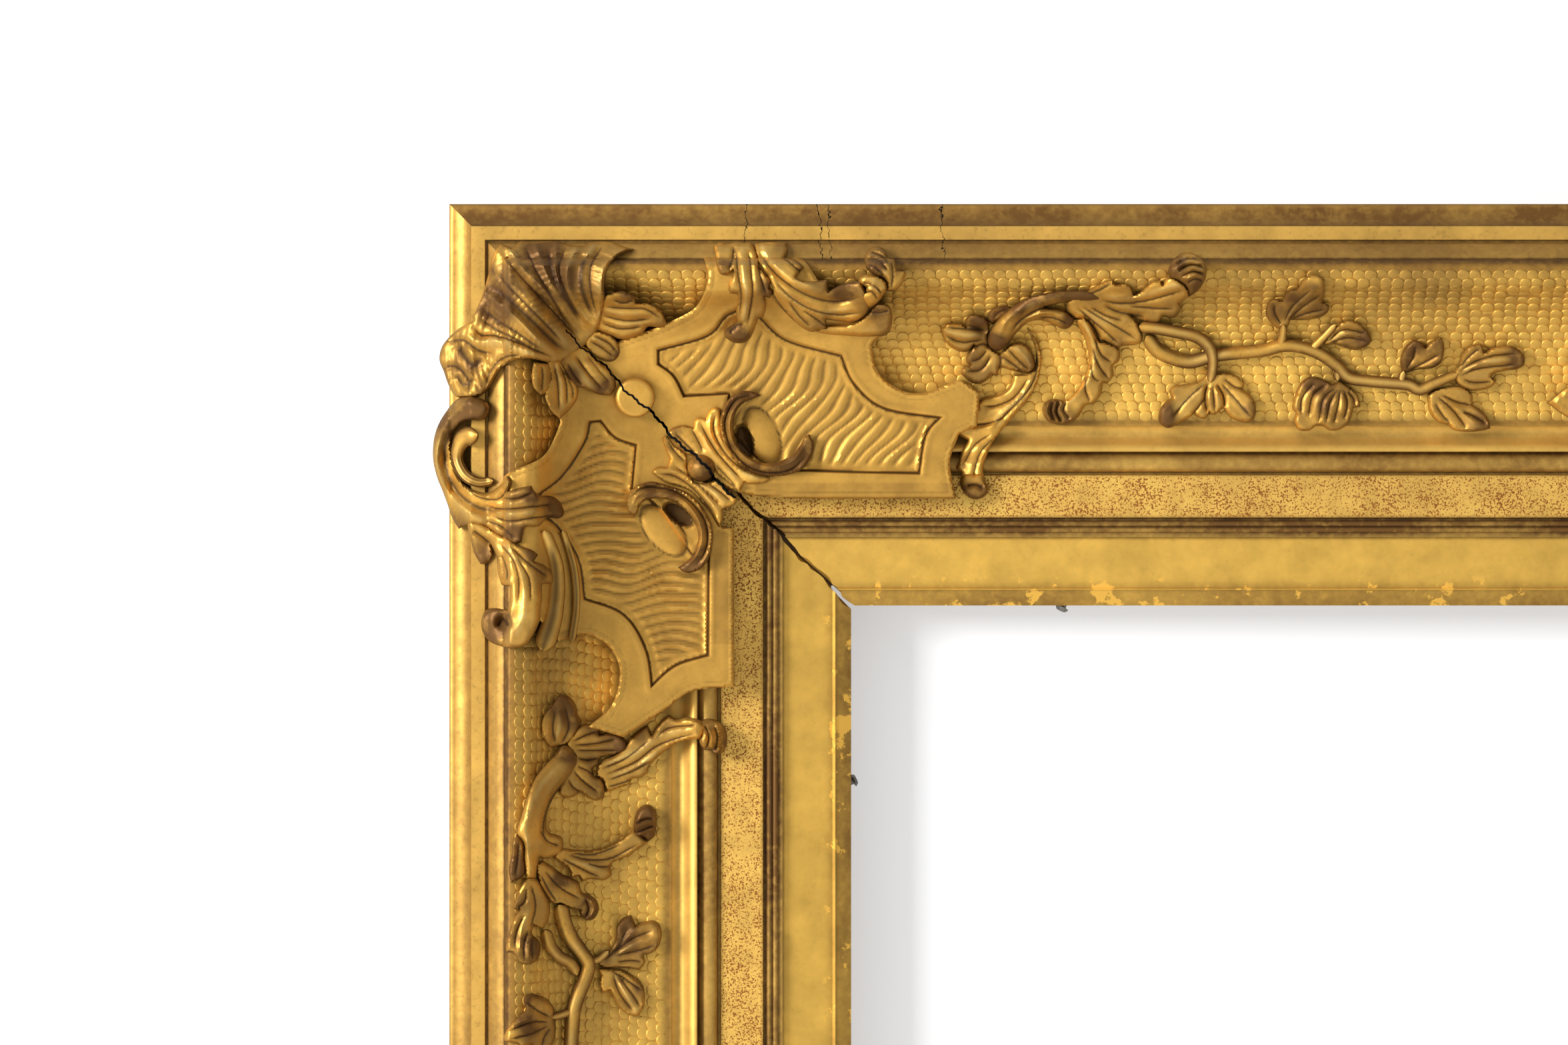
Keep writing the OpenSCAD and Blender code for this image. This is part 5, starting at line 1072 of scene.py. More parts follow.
# ---------------------------------------------------------------- mouldings
OUTER = [[0, 58], [0.5, 59.0], [1.5, 59.5], [3.4, 59.65], [5.33, 60.19], [7.0, 61.0], [8.57, 62.14],
         [9.8, 63.5], [10.74, 65.06], [11.3, 66.7], [11.5, 68.5], [11.5, 70], [18.5, 70], [18.5, 68],
         [20, 68], [20, 70.75], [22.3, 73.3], [24.8, 75.4], [26.4, 76.3], [28, 77]]
COVE = [[28, 77], [29.5, 83.5], [31, 85], [34, 85]] + FINE_HOLLOW[1:].tolist() + [[110, 43]]
FRIEZE = [[110, 41], [112, 39.6], [113.83, 39], [115.8, 39.6], [117.67, 41], [119.6, 43], [121.5, 44],
          [123, 44], [123, 37.6], [123.7, 38.4], [124.5, 39.3], [125.6, 40.2], [127.0, 40.8],
          [128.75, 41], [130.4, 40.7], [131.76, 39.76], [132.6, 38.3], [133, 36.75], [133, 34],
          [134.5, 34], [134.5, 36], [156, 36], [156, 34], [157.5, 34], [157.5, 36], [157.6, 36.6],
          [157.94, 37.06], [158.4, 37.4], [159, 37.5], [159.6, 37.4], [160.06, 37.06], [160.4, 36.6],
          [160.5, 36.1], [160.6, 36.6], [160.94, 37.06], [161.4, 37.4], [162, 37.5], [162.6, 37.4],
          [163.06, 37.06], [163.4, 36.6], [163.5, 36], [165.5, 36]]
COVE_BACK = [[64.5, 24], [36.76, 55.8]]
SLIP = [[165.5, 33], [191, 29.18], [191.35, 30.2], [191.75, 30.675], [192.2, 30.4], [192.5, 29.93],
        [200, 26.5]]


def eased(points, r=0.28, turn=25.0):
    """A section line with its sharp corners rounded a little."""
    p = np.array(points, float)
    out = [p[0]]
    for a, b, c in zip(p[:-2], p[1:-1], p[2:]):
        d1, d2 = b - a, c - b
        l1, l2 = np.hypot(*d1), np.hypot(*d2)
        bend = math.degrees(math.acos(max(-1, min(1, d1 @ d2 / (l1 * l2)))))
        if bend > turn:
            k1, k2 = min(r, 0.35 * l1), min(r, 0.35 * l2)
            out += [b - d1 / l1 * k1, b + d2 / l2 * k2]
        else:
            out.append(b)
    out.append(p[-1])
    return np.array(out)


def divided(points, step):
    """A line with places about every step of each of its stretches."""
    out = []
    for a, b in zip(points[:-1], points[1:]):
        n = max(1, int(math.ceil(np.hypot(*(b - a)) / step)))
        out += [a + (b - a) * i / n for i in range(n)]
    out.append(points[-1])
    return np.array(out)


# Wear and painted shade across the mouldings: distance from the outer edge in mm, pits, painted shade in the
# quirks, brown
AGEING_AND_SHADE = np.array([
    [0, 0, 0, 0.7], [3, 0, 0, 1], [8, 0, 0.1, 0.95], [11.4, 0, 0.35, 0.7], [11.6, 0, 0, 0.05],
    [18.4, 0, 0, 0.12], [18.6, 0, 0.45, 0.6], [20, 0, 0.5, 0.6], [20.3, 0, 0.1, 0.55], [27.3, 0, 0.1, 0.6],
    [28.2, 0, 0.75, 0.95], [30, 0, 0.5, 0.9], [32, 0, 0.15, 0.6], [37, 0, 0.05, 0.4], [56, 0, 0, 0.3],
    [70, 0, 0, 0.05], [104, 0, 0, 0.05], [107, 0, 0.3, 0.3], [109.6, 0, 0.4, 0.4], [110.4, 0, 0.05, 0.1],
    [113.8, 0, 0.1, 0.35], [118, 0, 0, 0.15], [121.5, 0, 0, 0.05], [122.9, 0, 0.05, 0.2],
    [123.05, 0, 0.5, 0.8], [124, 0, 0.05, 0.8], [126, 0, 0, 0.75], [129, 0, 0, 0.65], [132, 0, 0, 0.7],
    [133.2, 0, 0.4, 0.7], [134.4, 0.3, 0.3, 0.3], [135.2, 1, 0, 0], [155.4, 1, 0, 0],
    [156, 0.5, 0.45, 0.75], [157.5, 0, 0.75, 0.95], [158.2, 0, 0.3, 1], [159, 0, 0.1, 1],
    [160.5, 0, 0.5, 1], [162, 0, 0, 1], [163.5, 0, 0.35, 0.9], [165.4, 0, 0.35, 0.6], [166, 0, 0, 0.05],
    [184, 0, 0, 0.05], [187, 0.6, 0, 0.1], [190.8, 1, 0.2, 0.3], [191.7, 1, 0, 0], [192.5, 0.9, 0.25, 0.5],
    [194, 0.9, 0.05, 0.6], [200, 0.9, 0.1, 0.7]])


def aged_and_shaded(u, side):
    """Pits, painted shade in the quirks and brown at distances u; the outermost 11.5 mm of the left and right
    sides is half as brown, so the top and bottom stay darker there: painted light and shade from a side lamp.
    """
    marks = np.column_stack([np.interp(u, AGEING_AND_SHADE[:, 0], AGEING_AND_SHADE[:, k]) for k in (1, 2, 3)])
    # Painted light: the left and right outer edges are half as brown, as if lit by the side lamp
    if side in ("left", "right"):
        marks[:, 2] *= np.where(u < 11.5, 0.5, 1.0)
    return marks


def mitre_shift(u, side):
    """How far the end of the top or left side stands back from its mitre at the distance u."""
    s = (u - (CRACK_FROM - CORNER_PX).mean() * MM_PX) * math.sqrt(2)
    off, half = crack_line(s)
    start = np.clip(s / 60, 0, 1)
    return (half * start + (off if side == "top" else -off) * np.clip(s / 20, 0, 1)) * math.sqrt(2)


def rail(name, line, foot, back, side, material, step=10.0, wear=0.12):
    """One side of a moulding between its mitres: its section line, the height of its foot and the corners
    of its back, both as in the part's source. Side is top, bottom, left or right."""
    face = divided(eased(line), 1.6)
    loop = np.vstack([face, [[face[-1, 0], foot], *back, [face[0, 0], foot]]])
    along_full = FRAME_W if side in ("top", "bottom") else FRAME_H
    n = int(along_full / step)
    m = len(loop)
    u = loop[:, 0]
    half = along_full / 2 - u
    start_gap = mitre_shift(u, side) if side in ("top", "left") and u[0] > U_FOOT else 0 * u
    verts = np.zeros((n + 1, m, 3))
    for i, q in enumerate(np.linspace(0, 1, n + 1)):
        run = -half + 2 * half * q
        run = run + start_gap * np.clip(1 - q * n / 4, 0, 1)
        place = np.column_stack([run, u])
        h = loop[:, 1].copy()
        uneven = wear * wobble(place, 9.0, 1.7) + 0.5 * wear * wobble(place, 2.1, 0.4)
        h[:len(face)] -= np.abs(uneven[:len(face)]) * np.clip(q * n, 0, 1) * np.clip((1 - q) * n, 0, 1)
        if side in ("top", "bottom"):
            verts[i] = np.column_stack([run, -h, FRAME_H / 2 - u])
        else:
            verts[i] = np.column_stack([u - FRAME_W / 2, -h, -run])
    if side == "bottom":
        verts[:, :, 2] *= -1
    if side == "right":
        verts[:, :, 0] *= -1
    faces = [[i * m + j, i * m + (j + 1) % m, (i + 1) * m + (j + 1) % m, (i + 1) * m + j]
             for i in range(n) for j in range(m)]
    faces += [list(range(m))[::-1], [n * m + j for j in range(m)]]
    flat = verts.reshape(-1, 3) / 1000
    if volume_sign(flat - flat.mean(axis=0), faces) < 0:
        faces = [f[::-1] for f in faces]
    obj = mesh_object("moulding_" + name, flat, faces, np.tile(aged_and_shaded(u, side), (n + 1, 1)), 32.0)
    obj.data.materials.append(material)
    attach(obj, "frame")
    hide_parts(name)


# ---------------------------------------------------------------- scales of the hollow
def scale_seed():
    """One thin round scale, of unit pitch, that lies over the next with its raised edge towards +Y."""
    n = SCALE_SIDES
    verts, faces = [], []
    for r, drop, crown in ((0.57, -0.12, 0.0), (0.59, -0.01, 0.0), (0.47, 0.02, 0.008)):
        for i in range(n):
            a = math.pi / 2 + 2 * math.pi * i / n
            x, y = r * math.cos(a), r * math.sin(a)
            verts.append((x, y - 0.1, 0.075 * y + drop + crown))
    verts.append((0, -0.1, 0.036))
    for ring in range(2):
        for i in range(n):
            j = (i + 1) % n
            faces.append((ring * n + i, ring * n + j, (ring + 1) * n + j, (ring + 1) * n + i))
    faces += [(2 * n + i, 2 * n + (i + 1) % n, 3 * n) for i in range(n)]
    faces.append(tuple(range(n))[::-1])
    mesh = bpy.data.meshes.new("scale")
    mesh.from_pydata(verts, [], faces)
    mesh.polygons.foreach_set("use_smooth", [True] * len(mesh.polygons))
    obj = bpy.data.objects.new("scale", mesh)
    bpy.context.scene.collection.objects.link(obj)
    return obj


def scatter_tree():
    """Sets a small shape on every point, turned and sized by the points' own attributes."""
    tree = bpy.data.node_groups.new("set_scales", "GeometryNodeTree")
    face = tree.interface
    face.new_socket("Geometry", in_out="INPUT", socket_type="NodeSocketGeometry")
    face.new_socket("Shape", in_out="INPUT", socket_type="NodeSocketObject")
    face.new_socket("Material", in_out="INPUT", socket_type="NodeSocketMaterial")
    face.new_socket("Geometry", in_out="OUTPUT", socket_type="NodeSocketGeometry")
    nodes, links = tree.nodes, tree.links
    gin, gout = nodes.new("NodeGroupInput"), nodes.new("NodeGroupOutput")
    info = nodes.new("GeometryNodeObjectInfo")
    links.new(gin.outputs["Shape"], info.inputs["Object"])
    kept = {}
    for key in ("turn", "size"):
        kept[key] = nodes.new("GeometryNodeInputNamedAttribute")
        kept[key].data_type = "FLOAT_VECTOR"
        kept[key].inputs["Name"].default_value = key
    euler = nodes.new("FunctionNodeEulerToRotation")
    links.new(kept["turn"].outputs["Attribute"], euler.inputs["Euler"])
    put = nodes.new("GeometryNodeInstanceOnPoints")
    links.new(gin.outputs["Geometry"], put.inputs["Points"])
    links.new(info.outputs["Geometry"], put.inputs["Instance"])
    links.new(euler.outputs["Rotation"], put.inputs["Rotation"])
    links.new(kept["size"].outputs["Attribute"], put.inputs["Scale"])
    real = nodes.new("GeometryNodeRealizeInstances")
    paint = nodes.new("GeometryNodeSetMaterial")
    links.new(put.outputs["Instances"], real.inputs["Geometry"])
    links.new(real.outputs["Geometry"], paint.inputs["Geometry"])
    links.new(gin.outputs["Material"], paint.inputs["Material"])
    links.new(paint.outputs["Geometry"], gout.inputs["Geometry"])
    return tree


def scales(side, shape, tree, material, rng):
    """Rows of scales over the hollow of one side, left out under the corner plates."""
    line = FINE_HOLLOW
    run = np.append(0, np.cumsum(np.hypot(*np.diff(line, axis=0).T)))
    length = FRAME_W if side in ("top", "bottom") else FRAME_H
    rows = int(run[-1] / SCALE_ROW)
    hidden = flowing(PLATE_OUTLINE, 6.0)
    points, turns, sizes = [], [], []
    for r in range(rows):
        s = (r + 0.5) * run[-1] / rows
        u = np.interp(s, run, line[:, 0])
        h = np.interp(s, run, line[:, 1])
        ahead, behind = min(s + 1, run[-1]), max(s - 1, 0)
        du = np.interp(ahead, run, line[:, 0]) - np.interp(behind, run, line[:, 0])
        dh = np.interp(ahead, run, line[:, 1]) - np.interp(behind, run, line[:, 1])
        slope = math.atan2(-dh, du)
        si, co = math.sin(slope), math.cos(slope)
        half = length / 2 - u
        count = int(2 * half / SCALE_PITCH)
        t = (np.arange(count) + 0.5 + 0.5 * (r % 2)) / count
        at = -half + 2 * half * t
        at = at[np.abs(at) < half - 1.5]
        at = at + rng.uniform(-0.35, 0.35, len(at))
        uu = u + rng.uniform(-0.3, 0.3, len(at))
        if side in ("top", "bottom"):
            px = CORNER_PX[0] + (FRAME_W / 2 - np.abs(at)) / MM_PX
            py = CORNER_PX[1] + uu / MM_PX
        else:
            px = CORNER_PX[0] + uu / MM_PX
            py = CORNER_PX[1] + (FRAME_H / 2 - np.abs(at)) / MM_PX
        keep = ~inside(np.column_stack([px, py]), hidden)
        for a, v, k in zip(at, uu, keep):
            if not k:
                continue
            local = Matrix.Rotation(rng.uniform(-0.25, 0.25), 3, "Z")
            if side in ("top", "bottom"):
                out = Matrix(((1, 0, 0), (0, -si, -co), (0, co, -si)))
                place = Vector((a, -h, FRAME_H / 2 - v))
                if side == "bottom":
                    place.z *= -1
                    out = Matrix(((-1, 0, 0), (0, -si, -co), (0, -co, si)))
            else:
                out = Matrix(((0, -co, si), (0, -si, -co), (1, 0, 0)))
                place = Vector((v - FRAME_W / 2, -h, a))
                if side == "right":
                    place.x *= -1
                    out = Matrix(((0, co, -si), (0, -si, -co), (-1, 0, 0)))
            points.append(place / 1000)
            turns.append((out @ local).to_euler())
            w = rng.uniform(0.95, 1.06) * SCALE_PITCH / 1000
            sizes.append((w, w * rng.uniform(0.92, 1.04), w * rng.uniform(0.8, 1.2)))
    mesh = bpy.data.meshes.new("scale_places_" + side)
    mesh.from_pydata([tuple(p) for p in points], [], [])
    for key, values in (("turn", turns), ("size", sizes)):
        layer = mesh.attributes.new(key, "FLOAT_VECTOR", "POINT")
        layer.data.foreach_set("vector", np.array([tuple(v) for v in values], np.float32).ravel())
    seedling = bpy.data.objects.new("scale_places_" + side, mesh)
    bpy.context.scene.collection.objects.link(seedling)
    mod = seedling.modifiers.new("set_scales", "NODES")
    mod.node_group = tree
    ids = {s.name: s.identifier for s in tree.interface.items_tree if s.in_out == "INPUT"}
    mod[ids["Shape"]] = shape
    mod[ids["Material"]] = material
    dg = bpy.context.evaluated_depsgraph_get()
    made = bpy.data.meshes.new_from_object(seedling.evaluated_get(dg))
    seedling.modifiers.clear()
    bpy.data.objects.remove(seedling)
    made.name = "cove_scales_" + side
    obj = bpy.data.objects.new(made.name, made)
    bpy.context.scene.collection.objects.link(obj)
    made.polygons.foreach_set("use_smooth", [True] * len(made.polygons))
    spot = np.zeros(len(made.vertices) * 3, np.float32)
    made.vertices.foreach_get("co", spot)
    spot = np.abs(spot.reshape(-1, 3)) * 1000
    u = FRAME_H / 2 - spot[:, 2] if side in ("top", "bottom") else FRAME_W / 2 - spot[:, 0]
    set_marks(made, aged_and_shaded(u, side))
    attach(obj, "frame")


# ---------------------------------------------------------------- materials
def shader(name):
    mat = bpy.data.materials.new(name)
    mat.use_nodes = True
    return mat, mat.node_tree, mat.node_tree.nodes["Principled BSDF"]


def feed(tree, socket, value):
    """Gives a socket a value: the output of another node, or a plain one."""
    if hasattr(value, "links"):
        tree.links.new(value, socket)
    else:
        socket.default_value = value


def mix_colour(tree, fac, a, b):
    n = tree.nodes.new("ShaderNodeMix")
    n.data_type = "RGBA"
    for value, key in ((fac, 0), (a, 6), (b, 7)):
        feed(tree, n.inputs[key], value)
    return n.outputs[2]


def ramp(tree, value, low, high, out_low=0.0, out_high=1.0):
    n = tree.nodes.new("ShaderNodeMapRange")
    tree.links.new(value, n.inputs[0])
    for i, end in enumerate((low, high, out_low, out_high)):
        n.inputs[i + 1].default_value = end
    return n.outputs[0]


def noise(tree, coords, scale, detail=3.0, rough=0.55):
    n = tree.nodes.new("ShaderNodeTexNoise")
    for key, value in (("Vector", coords), ("Scale", scale), ("Detail", detail), ("Roughness", rough)):
        feed(tree, n.inputs[key], value)
    return n.outputs["Fac"]


def number(tree, kind, a, b=None, c=None):
    """One sum of the Math node, with sockets or plain numbers."""
    n = tree.nodes.new("ShaderNodeMath")
    n.operation = kind
    for i, value in enumerate((a, b, c)):
        if value is not None:
            feed(tree, n.inputs[i], value)
    return n.outputs[0]


def times(tree, a, b):
    return number(tree, "MULTIPLY", a, b)


def highest(tree, a, b):
    return number(tree, "MAXIMUM", a, b)


def object_places(tree):
    return tree.nodes.new("ShaderNodeTexCoord").outputs["Object"]


def parts(tree, kind, whole):
    """The outputs of a node that takes a vector or a colour apart."""
    n = tree.nodes.new(kind)
    tree.links.new(whole, n.inputs[0])
    return n.outputs


def carve_marks(tree):
    """The three marks that pieces keep in the attribute carve."""
    marks = tree.nodes.new("ShaderNodeAttribute")
    marks.attribute_name = "carve"
    return parts(tree, "ShaderNodeSeparateColor", marks.outputs["Color"])


def shader_group(name, inputs, outputs):
    """An empty node group with sockets given as (name, kind, default)."""
    group = bpy.data.node_groups.new(name, "ShaderNodeTree")
    for key, kind, value in inputs:
        socket = group.interface.new_socket(key, in_out="INPUT", socket_type="NodeSocket" + kind)
        if value is not None:
            socket.default_value = value
    for key, kind in outputs:
        group.interface.new_socket(key, in_out="OUTPUT", socket_type="NodeSocket" + kind)
    return group, group.nodes.new("NodeGroupInput"), group.nodes.new("NodeGroupOutput")


def use(tree, group, **values):
    """A node that holds the group, with an underscore for each blank in the names of its values."""
    n = tree.nodes.new("ShaderNodeGroup")
    n.node_tree = group
    for key, value in values.items():
        feed(tree, n.inputs[key.replace("_", " ")], value)
    return n


def crack_group():
    """Mask of the open joint across the top left corner, for pieces that lie over it, where it is painted
    near-black as the shade inside the joint.
    """
    tree, _, gout = shader_group("open_joint", [], [("Mask", "Float")])
    xyz = parts(tree, "ShaderNodeSeparateXYZ", object_places(tree))
    start = to_metres(np.array([[CRACK_FROM[0], CRACK_FROM[1], 0]]))[0]
    (way_x, way_y), (side_x, side_y) = CRACK_WAY.tolist(), CRACK_SIDE.tolist()
    x = number(tree, "MULTIPLY_ADD", xyz[0], 1000.0, float(-start[0] * 1000))
    y = number(tree, "MULTIPLY_ADD", xyz[2], -1000.0, float(start[2] * 1000))
    s = number(tree, "ADD", times(tree, x, way_x), times(tree, y, way_y))
    t = number(tree, "ADD", times(tree, x, side_x), times(tree, y, side_y))
    for high, rate, phase in CRACK_WAVES:
        wave = number(tree, "SINE", number(tree, "MULTIPLY_ADD", s, rate, phase))
        t = number(tree, "MULTIPLY_ADD", wave, -high, t)
    half = number(tree, "MULTIPLY_ADD", s, CRACK_GROWS, CRACK_HALF)
    near = number(tree, "LESS_THAN", number(tree, "ABSOLUTE", t), half)
    after = number(tree, "GREATER_THAN", s, -8.0)
    before = number(tree, "LESS_THAN", s, CRACK_LONG)
    tree.links.new(times(tree, times(tree, near, after), before), gout.inputs["Mask"])
    return tree


def wear_group():
    """Gold leaf that is worn and stained, and darker brown on faces that point up: its colour, its roughness
    and its share of metal.
    """
    tree, gin, gout = shader_group(
        "old_gilding",
        [("Gold", "Color", (0.8, 0.5, 0.14, 1)), ("Stain", "Color", (0.2, 0.1, 0.03, 1)),
         ("Stain Amount", "Float", 0.3), ("Stain Size", "Float", 22.0), ("Speck Amount", "Float", 0.3),
         ("Speck Size", "Float", 420.0), ("Ledge Dirt", "Float", 0.5), ("Metal", "Float", 0.8)],
        [("Color", "Color"), ("Roughness", "Float"), ("Metallic", "Float"), ("Height", "Float")])
    coords = object_places(tree)
    broad = noise(tree, coords, gin.outputs["Stain Size"], 4.0, 0.6)
    fine = noise(tree, coords, gin.outputs["Speck Size"], 3.0, 0.6)
    bright = noise(tree, coords, 75.0, 3.0, 0.6)
    stain = times(tree, ramp(tree, broad, 0.42, 0.72), gin.outputs["Stain Amount"])
    speck = times(tree, ramp(tree, fine, 0.55, 0.7), gin.outputs["Speck Amount"])
    face = parts(tree, "ShaderNodeSeparateXYZ", tree.nodes.new("ShaderNodeNewGeometry").outputs["Normal"])
    # Faces that point up are darkened brown, more in some patches than others
    ledge = ramp(tree, face[2], 0.12, 0.75)
    ledge = times(tree, ledge, gin.outputs["Ledge Dirt"])
    ledge = times(tree, ledge, ramp(tree, bright, 0.3, 0.6, 0.55, 1.0))
    tint = tree.nodes.new("ShaderNodeHueSaturation")
    tree.links.new(gin.outputs["Gold"], tint.inputs["Color"])
    tree.links.new(ramp(tree, bright, 0.3, 0.7, 0.86, 1.14), tint.inputs["Value"])
    colour = mix_colour(tree, stain, tint.outputs[0], gin.outputs["Stain"])
    colour = mix_colour(tree, speck, colour, gin.outputs["Stain"])
    colour = mix_colour(tree, ledge, colour, (0.13, 0.065, 0.028, 1))
    dull = highest(tree, highest(tree, stain, speck), ledge)
    tree.links.new(colour, gout.inputs["Color"])
    tree.links.new(ramp(tree, dull, 0.0, 1.0, 0.38, 0.72), gout.inputs["Roughness"])
    metal = times(tree, gin.outputs["Metal"], ramp(tree, dull, 0.0, 0.9, 1.0, 0.15))
    tree.links.new(metal, gout.inputs["Metallic"])
    tree.links.new(fine, gout.inputs["Height"])
    return tree


def carve_group():
    """Colour of carved pieces from their own relief: browned high parts as patina, painted shade at the feet
    and in the grooves, and brighter gold on the highest parts, partly worn gilding and partly painted
    highlight.
    """
    tree, gin, gout = shader_group(
        "carved_patina",
        [("Color", "Color", (0.8, 0.5, 0.14, 1)), ("Patina", "Color", (0.2, 0.1, 0.04, 1)),
         ("Patina Amount", "Float", 0.6)],
        [("Color", "Color"), ("Dull", "Float")])
    marks = carve_marks(tree)
    coords = object_places(tree)
    patch = noise(tree, coords, 46.0, 4.0, 0.62)
    # Brighter gold on the high parts: partly worn gilding, partly a painted highlight
    rubbed_and_highlit = times(tree, ramp(tree, marks[0], 0.72, 1.0, 0.0, 0.7), ramp(tree, patch, 0.4, 0.58))
    colour = mix_colour(tree, rubbed_and_highlit, gin.outputs["Color"], (0.98, 0.66, 0.2, 1))
    brown = times(tree, ramp(tree, marks[2], 0.22, 0.8), ramp(tree, patch, 0.32, 0.52, 0.35, 1.0))
    brown = times(tree, brown, gin.outputs["Patina Amount"])
    colour = mix_colour(tree, brown, colour, gin.outputs["Patina"])
    # Painted shade: near black in the grooves and at the feet, where the pieces meet the ground
    groove = ramp(tree, marks[1], 0.12, 0.8, 0.0, 0.9)
    foot = ramp(tree, marks[0], 0.05, 0.42, 0.85, 0.0)
    dark = highest(tree, groove, foot)
    colour = mix_colour(tree, dark, colour, (0.05, 0.022, 0.008, 1))
    tree.links.new(colour, gout.inputs["Color"])
    tree.links.new(highest(tree, dark, times(tree, brown, 0.7)), gout.inputs["Dull"])
    return tree


# Checks of the top moulding: place across the picture in pixels, half width in metres
HAIRLINES = [(1118, 0.00022), (1228, 0.0003), (1242, 0.00018), (1412, 0.00022)]


def hairline_group():
    """Mask of the thin checks across the outer moulding of the top side."""
    tree, _, gout = shader_group("hairlines", [], [("Mask", "Float")])
    coords = object_places(tree)
    xyz = parts(tree, "ShaderNodeSeparateXYZ", coords)
    ragged = number(tree, "MULTIPLY_ADD", noise(tree, coords, 90.0, 4.0, 0.7), 0.012, -0.006)
    x = number(tree, "ADD", xyz[0], ragged)
    mask = times(tree, x, 0.0)
    for px, half in HAIRLINES:
        place = to_metres(np.array([[px, CORNER_PX[1], 0]]))[0][0]
        far = number(tree, "ABSOLUTE", number(tree, "SUBTRACT", x, float(place)))
        mask = highest(tree, mask, number(tree, "LESS_THAN", far, half))
    high = number(tree, "GREATER_THAN", xyz[2], float(FRAME_H / 2 - U_CREST) / 1000)
    tree.links.new(times(tree, mask, high), gout.inputs["Mask"])
    return tree


def band_group():
    """Patina of the mouldings from their own marks: brown bands, painted shade in the quirks, pits in the
    sand.
    """
    tree, gin, gout = shader_group(
        "moulding_patina",
        [("Color", "Color", (0.8, 0.5, 0.14, 1)), ("Patina", "Color", (0.2, 0.1, 0.04, 1)),
         ("Fleck", "Color", (0.30, 0.105, 0.018, 1)), ("Fleck Size", "Float", 1150.0),
         ("Fleck Start", "Float", 0.53)],
        [("Color", "Color"), ("Dull", "Float"), ("Height", "Float")])
    marks = carve_marks(tree)
    coords = object_places(tree)
    broad = noise(tree, coords, 16.0, 5.0, 0.62)
    fine = noise(tree, coords, 240.0, 3.0, 0.6)
    sand = noise(tree, coords, gin.outputs["Fleck Size"], 4.0, 0.6)
    thick = noise(tree, coords, 60.0, 2.0, 0.5)
    brown = times(tree, marks[2], ramp(tree, broad, 0.3, 0.62, 0.55, 1.15))
    brown = times(tree, brown, ramp(tree, fine, 0.3, 0.6, 0.75, 1.05))
    # Painted shade: the quirks darkened toward near black
    dark = times(tree, marks[1], ramp(tree, fine, 0.3, 0.6, 0.7, 1.1))
    pits = number(tree, "ADD", sand, number(tree, "MULTIPLY_ADD", thick, 0.17, -0.085))
    pits = number(tree, "SUBTRACT", pits, gin.outputs["Fleck Start"])
    pits = times(tree, ramp(tree, pits, 0.0, 0.04), marks[0])
    colour = mix_colour(tree, brown, gin.outputs["Color"], gin.outputs["Patina"])
    colour = mix_colour(tree, dark, colour, (0.05, 0.026, 0.012, 1))
    colour = mix_colour(tree, pits, colour, gin.outputs["Fleck"])
    tree.links.new(colour, gout.inputs["Color"])
    dull = highest(tree, dark, times(tree, brown, 0.7))
    tree.links.new(highest(tree, dull, pits), gout.inputs["Dull"])
    tree.links.new(number(tree, "SUBTRACT", 1.0, pits), gout.inputs["Height"])
    return tree


OPEN_JOINT, OLD_GILDING = crack_group(), wear_group()
CARVED_PATINA_AND_SHADE, MOULDING_PATINA_AND_SHADE = carve_group(), band_group()
HAIRLINE = hairline_group()


def gilding(name, gold, stain=(0.15, 0.07, 0.018, 1), carved=0.0, cracked=False, bump=0.3,
            patina=(0.17, 0.08, 0.018, 1), flecks=None, checks=False, **wear):
    """Old gilding. Carved is the share of brown on carved pieces, or None for mouldings, which bring flecks
    of their own. Cracked shows the open joint, checks the thin lines of the top moulding."""
    mat, tree, bsdf = shader(name)
    base = use(tree, OLD_GILDING, Gold=gold, Stain=stain, **wear)
    colour, metal, rough = base.outputs["Color"], base.outputs["Metallic"], base.outputs["Roughness"]
    height = base.outputs["Height"]
    if carved is None:
        worn = use(tree, MOULDING_PATINA_AND_SHADE, Color=colour, Patina=patina, **(flecks or {}))
        height = worn.outputs["Height"]
    elif carved:
        worn = use(tree, CARVED_PATINA_AND_SHADE, Color=colour, Patina=patina, Patina_Amount=carved)
    if carved is None or carved:
        colour = worn.outputs["Color"]
        rough = ramp(tree, worn.outputs["Dull"], 0.0, 1.0, 0.42, 0.54)
        metal = times(tree, metal, ramp(tree, worn.outputs["Dull"], 0.0, 1.0, 1.0, 0.5))
    if cracked or checks:
        gap = use(tree, OPEN_JOINT if cracked else HAIRLINE).outputs["Mask"]
        # The open joint is painted near-black, standing in for the shade inside it; the checks are painted as
        # near-black lines
        colour = mix_colour(tree, gap, colour, (0.004, 0.003, 0.002, 1))
        metal = times(tree, metal, number(tree, "SUBTRACT", 1.0, gap))
        rough = highest(tree, rough, gap)
    bsdf.inputs["Specular IOR Level"].default_value = 0.22
    tree.links.new(colour, bsdf.inputs["Base Color"])
    tree.links.new(metal, bsdf.inputs["Metallic"])
    tree.links.new(rough, bsdf.inputs["Roughness"])
    lump = tree.nodes.new("ShaderNodeBump")
    lump.inputs["Strength"].default_value = bump
    lump.inputs["Distance"].default_value = 0.0003
    tree.links.new(height, lump.inputs["Height"])
    tree.links.new(lump.outputs["Normal"], bsdf.inputs["Normal"])
    return mat


